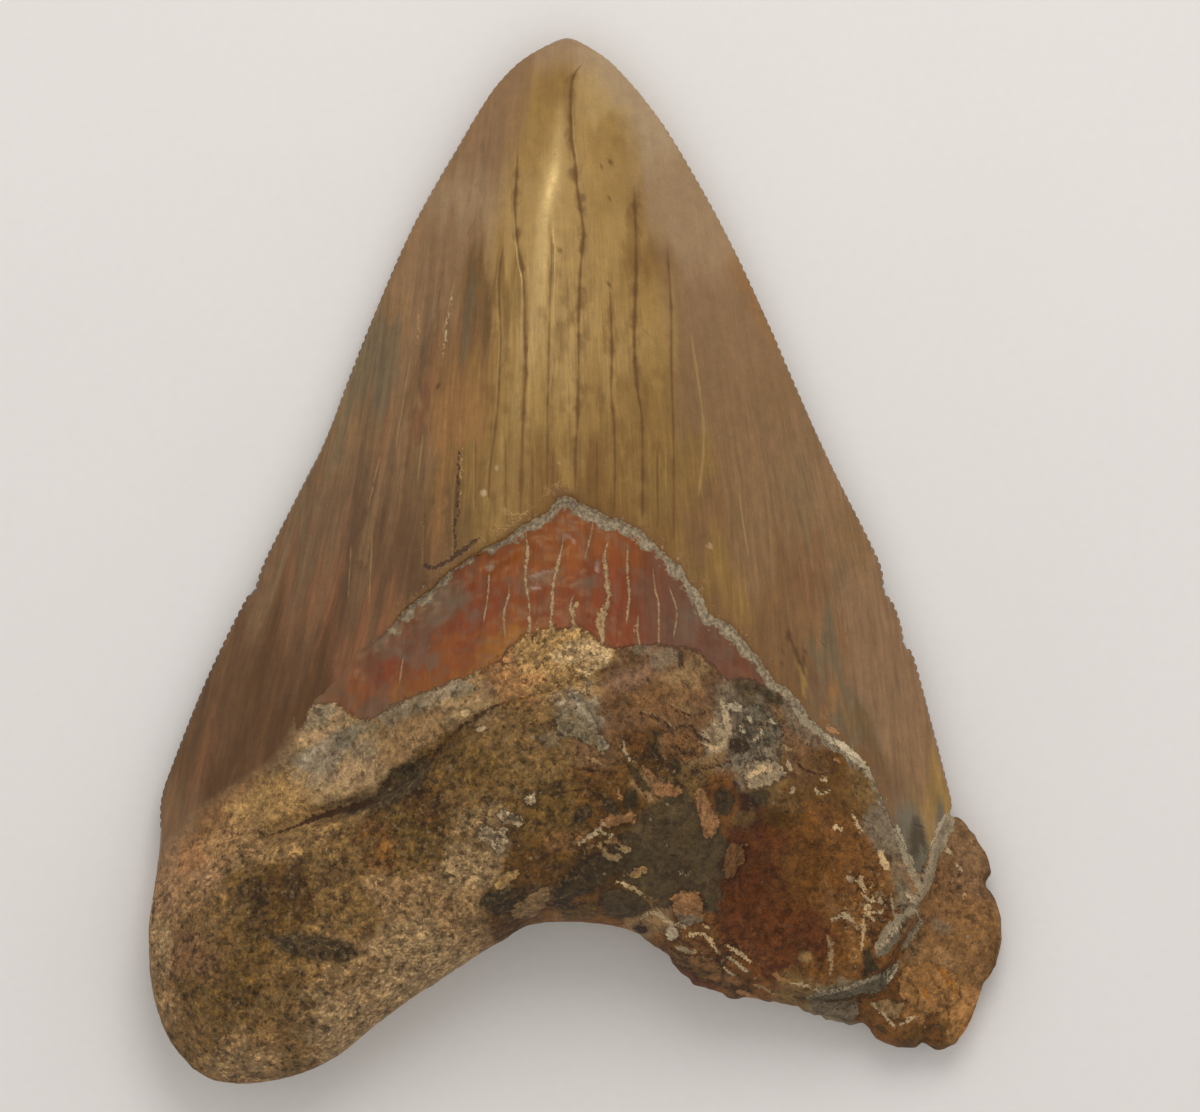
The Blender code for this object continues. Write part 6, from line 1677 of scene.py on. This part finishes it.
def root_look(tree, place, noises, shape_depth, sand):
    """Stone root: sand grains where it is coarse, clouded and cracked where it is smooth."""
    mottle, fine, tiny = noises
    grains = add(tree, "TexVoronoi", {"Vector": place, "Scale": GRAIN_SCALE}, feature="F1")
    tones = parts(tree, grains.outputs["Color"])
    rock = texture(tree, place, *ROCK)
    shape_edge = frayed(tree, frayed(tree, shape_depth, fine, SHAPE_FINE_RAG), rock, SHAPE_ROCK_RAG)
    shape = between(tree, shape_edge, *SHAPE_BLUR)
    color = mixed(tree, shape, paint_field(tree, "root_paint"), paint_field(tree, "shape_paint"))
    # Painted shade: a dark rim around each shape.
    color = dimmed(tree, color, calc(tree, "MAXIMUM", between(tree, shape_edge, *SHAPE_RIM_SHADE), shape))
    swing = calc(tree, "MAXIMUM", calc(tree, "MULTIPLY_ADD", sand, SANDY_SWING, SMOOTH_SWING),
                 product(tree, shape, SHAPE_SWING))
    for field, most in ((rock, ROCK_SWING), (fine, FINE_SWING), (tiny, TINY_SWING)):
        color = toned(tree, color, field, TONE_RANGE, most, swing)
    color = dimmed(tree, color, frayed(tree, 1.0, tones[0], product(tree, sand, GRAIN_SWING)))

    flecks = {}
    for name, noise_look, reach, smooth_share, sandy_share in ROOT_FLECKS:
        flecks[name] = between(tree, texture(tree, place, *noise_look), *reach)
        share = calc(tree, "MULTIPLY_ADD", sand, sandy_share, smooth_share)
        color = tinted(tree, color, name, flecks[name], share)
    amber = product(tree, between(tree, tones[1], *AMBER_RANGE), sand)
    color = tinted(tree, color, "orange_tan", amber, AMBER_SHARE)

    zone = calc(tree, "MULTIPLY_ADD", parts_of(tree, "crack")[2], ZONE_RISE, -ZONE_RISE)
    pit = between(tree, calc(tree, "ADD", texture(tree, place, *PIT), zone), *PIT_RANGE)
    color = tinted(tree, color, "dark_slate", pit, PIT_SHARE)
    pale = between(tree, calc(tree, "ADD", texture(tree, place, *PALE_FLECK), zone), *PALE_RANGE)
    pale_color = mixed(tree, between(tree, tones[2], *PALE_COLOR_RANGE), own_color("bone"),
                       own_color("orange_tan"))
    color = mixed(tree, product(tree, pale, PALE_SHARE), color, pale_color)
    cells = add(tree, "TexVoronoi", {"Vector": place, "Scale": BIT_SCALE}, feature="F1")
    chosen = between(tree, parts(tree, cells.outputs["Color"])[1], *BIT_CHOSEN)
    bit_edge = frayed(tree, cells.outputs["Distance"], tiny, BIT_RAG)
    bit = product(tree, chosen, between(tree, bit_edge, *BIT_RIM, 1.0, 0.0))
    color = tinted(tree, color, "bone", bit, BIT_SHARE)

    bend = add(tree, "TexNoise", {"Vector": place, "Scale": CRAZE_BEND_SCALE}).outputs["Color"]
    bent = add(tree, "VectorMath", {0: bend, 1: (CRAZE_BEND,) * 3, 2: place},
               operation="MULTIPLY_ADD").outputs[0]
    craze = add(tree, "TexVoronoi", {"Vector": bent, "Scale": CRAZE_SCALE}, feature="DISTANCE_TO_EDGE")
    smooth = between(tree, calc(tree, "SUBTRACT", mottle, product(tree, sand, CRAZE_SAND)), *CRAZE_RANGE)
    crazed = product(tree, between(tree, craze.outputs["Distance"], *CRAZE_WIDTH, 1.0, 0.0), smooth)
    color = tinted(tree, color, "deep_brown", crazed, CRAZE_SHARE)

    grain_top = product(tree, calc(tree, "SUBTRACT", 0.5, grains.outputs["Distance"]), sand)
    height = summed(tree, (grain_top, GRAIN_RELIEF), (rock, ROCK_RELIEF), (fine, FINE_RELIEF),
                    (tiny, TINY_RELIEF), (flecks["deep_brown"], DARK_RELIEF), (shape, SHAPE_RELIEF),
                    (pale, PALE_RELIEF), (pit, PIT_RELIEF))
    return color, height


# ---------------------------------------------------------------------------------------------
# Tooth
# ---------------------------------------------------------------------------------------------

# The two faces' places on the bake map: left and bottom edge, and map units for a millimetre. The
# labial one stands on its head beside the crown.
LINGUAL_MAP = (0.012, 0.03, 0.0088)
LABIAL_MAP = (0.622, 0.54, 0.0042)


def map_places(points, low, high):
    """Bake-map places of points seen from above, for the lingual and the labial island."""
    across, up, down = points[:, 0] - low[0], points[:, 1] - low[1], high[1] - points[:, 1]
    return (np.column_stack([left + across * unit, bottom + along * unit])
            for (left, bottom, unit), along in ((LINGUAL_MAP, up), (LABIAL_MAP, down)))


def make_tooth():
    """The whole skin as one closed mesh, with its fields, its bake map and its material."""
    rim_points, rim = shared_rim()
    lingual, lingual_faces = sheet(lingual_points, LINGUAL_ROWS, LINGUAL_COLUMNS,
                                   rim, len(rim_points), False)
    labial, labial_faces = sheet(labial_points, LABIAL_ROWS, LABIAL_COLUMNS,
                                 rim, len(rim_points) + len(lingual), True)
    points = np.vstack([rim_points, lingual, labial])
    front = painted(*points[:len(rim_points) + len(lingual), :2].T, False)
    back = painted(*labial[:, :2].T, True)
    fields = {name: np.vstack([front[name], back[name]]) for name in front}

    low, high = rim_points.min(axis=0), rim_points.max(axis=0)
    front_map, back_map = map_places(points, low, high)
    middle = (low + high) / 2
    placed = (points - [middle[0], middle[1], labial[:, 2].min()]) * MM

    mesh = bpy.data.meshes.new("tooth_surface")
    mesh.from_pydata(placed.tolist(), [], lingual_faces + labial_faces)
    mesh.polygons.foreach_set("use_smooth", np.ones(len(mesh.polygons), dtype=bool))
    for name, values in fields.items():
        if name.endswith("_paint"):
            layer = mesh.attributes.new(name, "FLOAT_COLOR", "POINT")
            layer.data.foreach_set("color", np.column_stack([values, np.ones(len(values))]).ravel())
        else:
            layer = mesh.attributes.new(name, "FLOAT_VECTOR", "POINT")
            layer.data.foreach_set("vector", values.ravel())
    corners = np.empty(len(mesh.loops), dtype=int)
    mesh.loops.foreach_get("vertex_index", corners)
    first_back = mesh.polygons[len(lingual_faces)].loop_start
    places = np.vstack([front_map[corners[:first_back]], back_map[corners[first_back:]]])
    mesh.uv_layers.new(name="OFBake").data.foreach_set("uv", places.ravel())
    mesh.validate()
    mesh.update()
    mesh.materials.append(fossil_material())
    tooth = bpy.data.objects.new("tooth_surface", mesh)
    bpy.context.scene.collection.objects.link(tooth)
    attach(tooth, "root")
    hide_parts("tooth")
    return tooth


# ---------------------------------------------------------------------------------------------
# Stage, lights and camera
# ---------------------------------------------------------------------------------------------

FLOOR_WIDTH, FLOOR_DROP = 3.0, 0.0001
PAPER, PAPER_ROUGHNESS, PAPER_SPECULAR = (0.80, 0.768, 0.740), 0.9, 0.2
PAPER_FIBRE, PAPER_CLOUD = (900.0, 3.0, 0.6), (30.0, 2.0, 0.5)      # per metre, detail, roughness
PAPER_TONES = (0.2, 0.8, 0.97, 1.0)

AMBIENT, ROOM_COLOR = 0.70, (1.0, 0.99, 0.97, 1.0)
# Lamps: name, place, target, size, power, colour, and whether it only shows in the gloss.
LAMPS = [
    ("key", (0.04, 0.23, 0.34), (0, 0, 0), (0.25, 0.25), 0.59, (1, 0.985, 0.98), False),
    ("sheen", (-0.17, 0.305, 0.46), (0, 0.03, 0.01), (0.45, 0.12), 0.48, (1, 0.82, 0.46), True),
    ("glint", (-0.193, 0.335, 0.505), (0, 0.03, 0.01), (0.2, 0.03), 0.74, (1, 0.76, 0.32), True),
]

CAMERA_DISTANCE = 1.0                   # above the height of the cutting edges
EDGE_LEVEL = 5 * MM
VIEW_WIDTH = 120 * MM                   # width of the picture at the level of the edges
VIEW_SHIFT = (2.4 * MM, 0.4 * MM)       # the picture's middle, from the middle of the tooth
SENSOR_WIDTH = 36.0
CLIP_START, CLIP_END = 0.01, 10.0


def make_floor():
    """A plain sheet of pale paper, which is only the stage."""
    half = FLOOR_WIDTH / 2
    level = cad_low.z - FLOOR_DROP
    mesh = bpy.data.meshes.new("floor")
    mesh.from_pydata([(-half, -half, level), (half, -half, level), (half, half, level),
                      (-half, half, level)], [], [(0, 1, 2, 3)])
    material = bpy.data.materials.new("paper")
    material.use_nodes = True
    tree = material.node_tree
    surface = tree.nodes["Principled BSDF"]
    surface.inputs["Roughness"].default_value = PAPER_ROUGHNESS
    surface.inputs["Specular IOR Level"].default_value = PAPER_SPECULAR
    place = add(tree, "TexCoord").outputs["Object"]
    shade = product(tree, *(between(tree, texture(tree, place, *look), *PAPER_TONES)
                            for look in (PAPER_FIBRE, PAPER_CLOUD)))
    tree.links.new(mixed(tree, shade, (0.0, 0.0, 0.0), PAPER), surface.inputs["Base Color"])
    mesh.materials.append(material)
    floor = bpy.data.objects.new("floor", mesh)
    bpy.context.scene.collection.objects.link(floor)


def make_lamp(name, place, target, size, power, color, gloss):
    """An elliptical lamp that faces its target and lights either the gloss or all the rest."""
    lamp = bpy.data.lights.new(name, "AREA")
    lamp.shape, lamp.energy, lamp.color = "ELLIPSE", power, color
    lamp.size, lamp.size_y = size
    holder = bpy.data.objects.new(name, lamp)
    holder.location = place
    holder.rotation_euler = (Vector(target) - Vector(place)).to_track_quat("-Z", "Y").to_euler()
    holder.visible_diffuse, holder.visible_glossy = not gloss, gloss
    bpy.context.scene.collection.objects.link(holder)


def make_lights():
    """Even light from all around, and the lamps."""
    world = bpy.data.worlds.new("soft_room")
    world.use_nodes = True
    background = world.node_tree.nodes["Background"]
    background.inputs["Color"].default_value = ROOM_COLOR
    background.inputs["Strength"].default_value = AMBIENT
    bpy.context.scene.world = world
    for lamp in LAMPS:
        make_lamp(*lamp)


def make_camera():
    """A camera that looks straight down, a metre above the cutting edges."""
    camera = bpy.data.cameras.new("camera")
    camera.sensor_width = SENSOR_WIDTH
    camera.lens = SENSOR_WIDTH * CAMERA_DISTANCE / VIEW_WIDTH
    camera.clip_start, camera.clip_end = CLIP_START, CLIP_END
    camera.dof.use_dof = False
    holder = bpy.data.objects.new("camera", camera)
    middle = (cad_low + cad_high) / 2
    holder.location = (middle.x + VIEW_SHIFT[0], middle.y + VIEW_SHIFT[1],
                       cad_low.z + EDGE_LEVEL + CAMERA_DISTANCE)
    bpy.context.scene.collection.objects.link(holder)
    bpy.context.scene.camera = holder


make_camera()
make_floor()
make_lights()
make_tooth()
bpy.context.scene.view_settings.view_transform = "Standard"
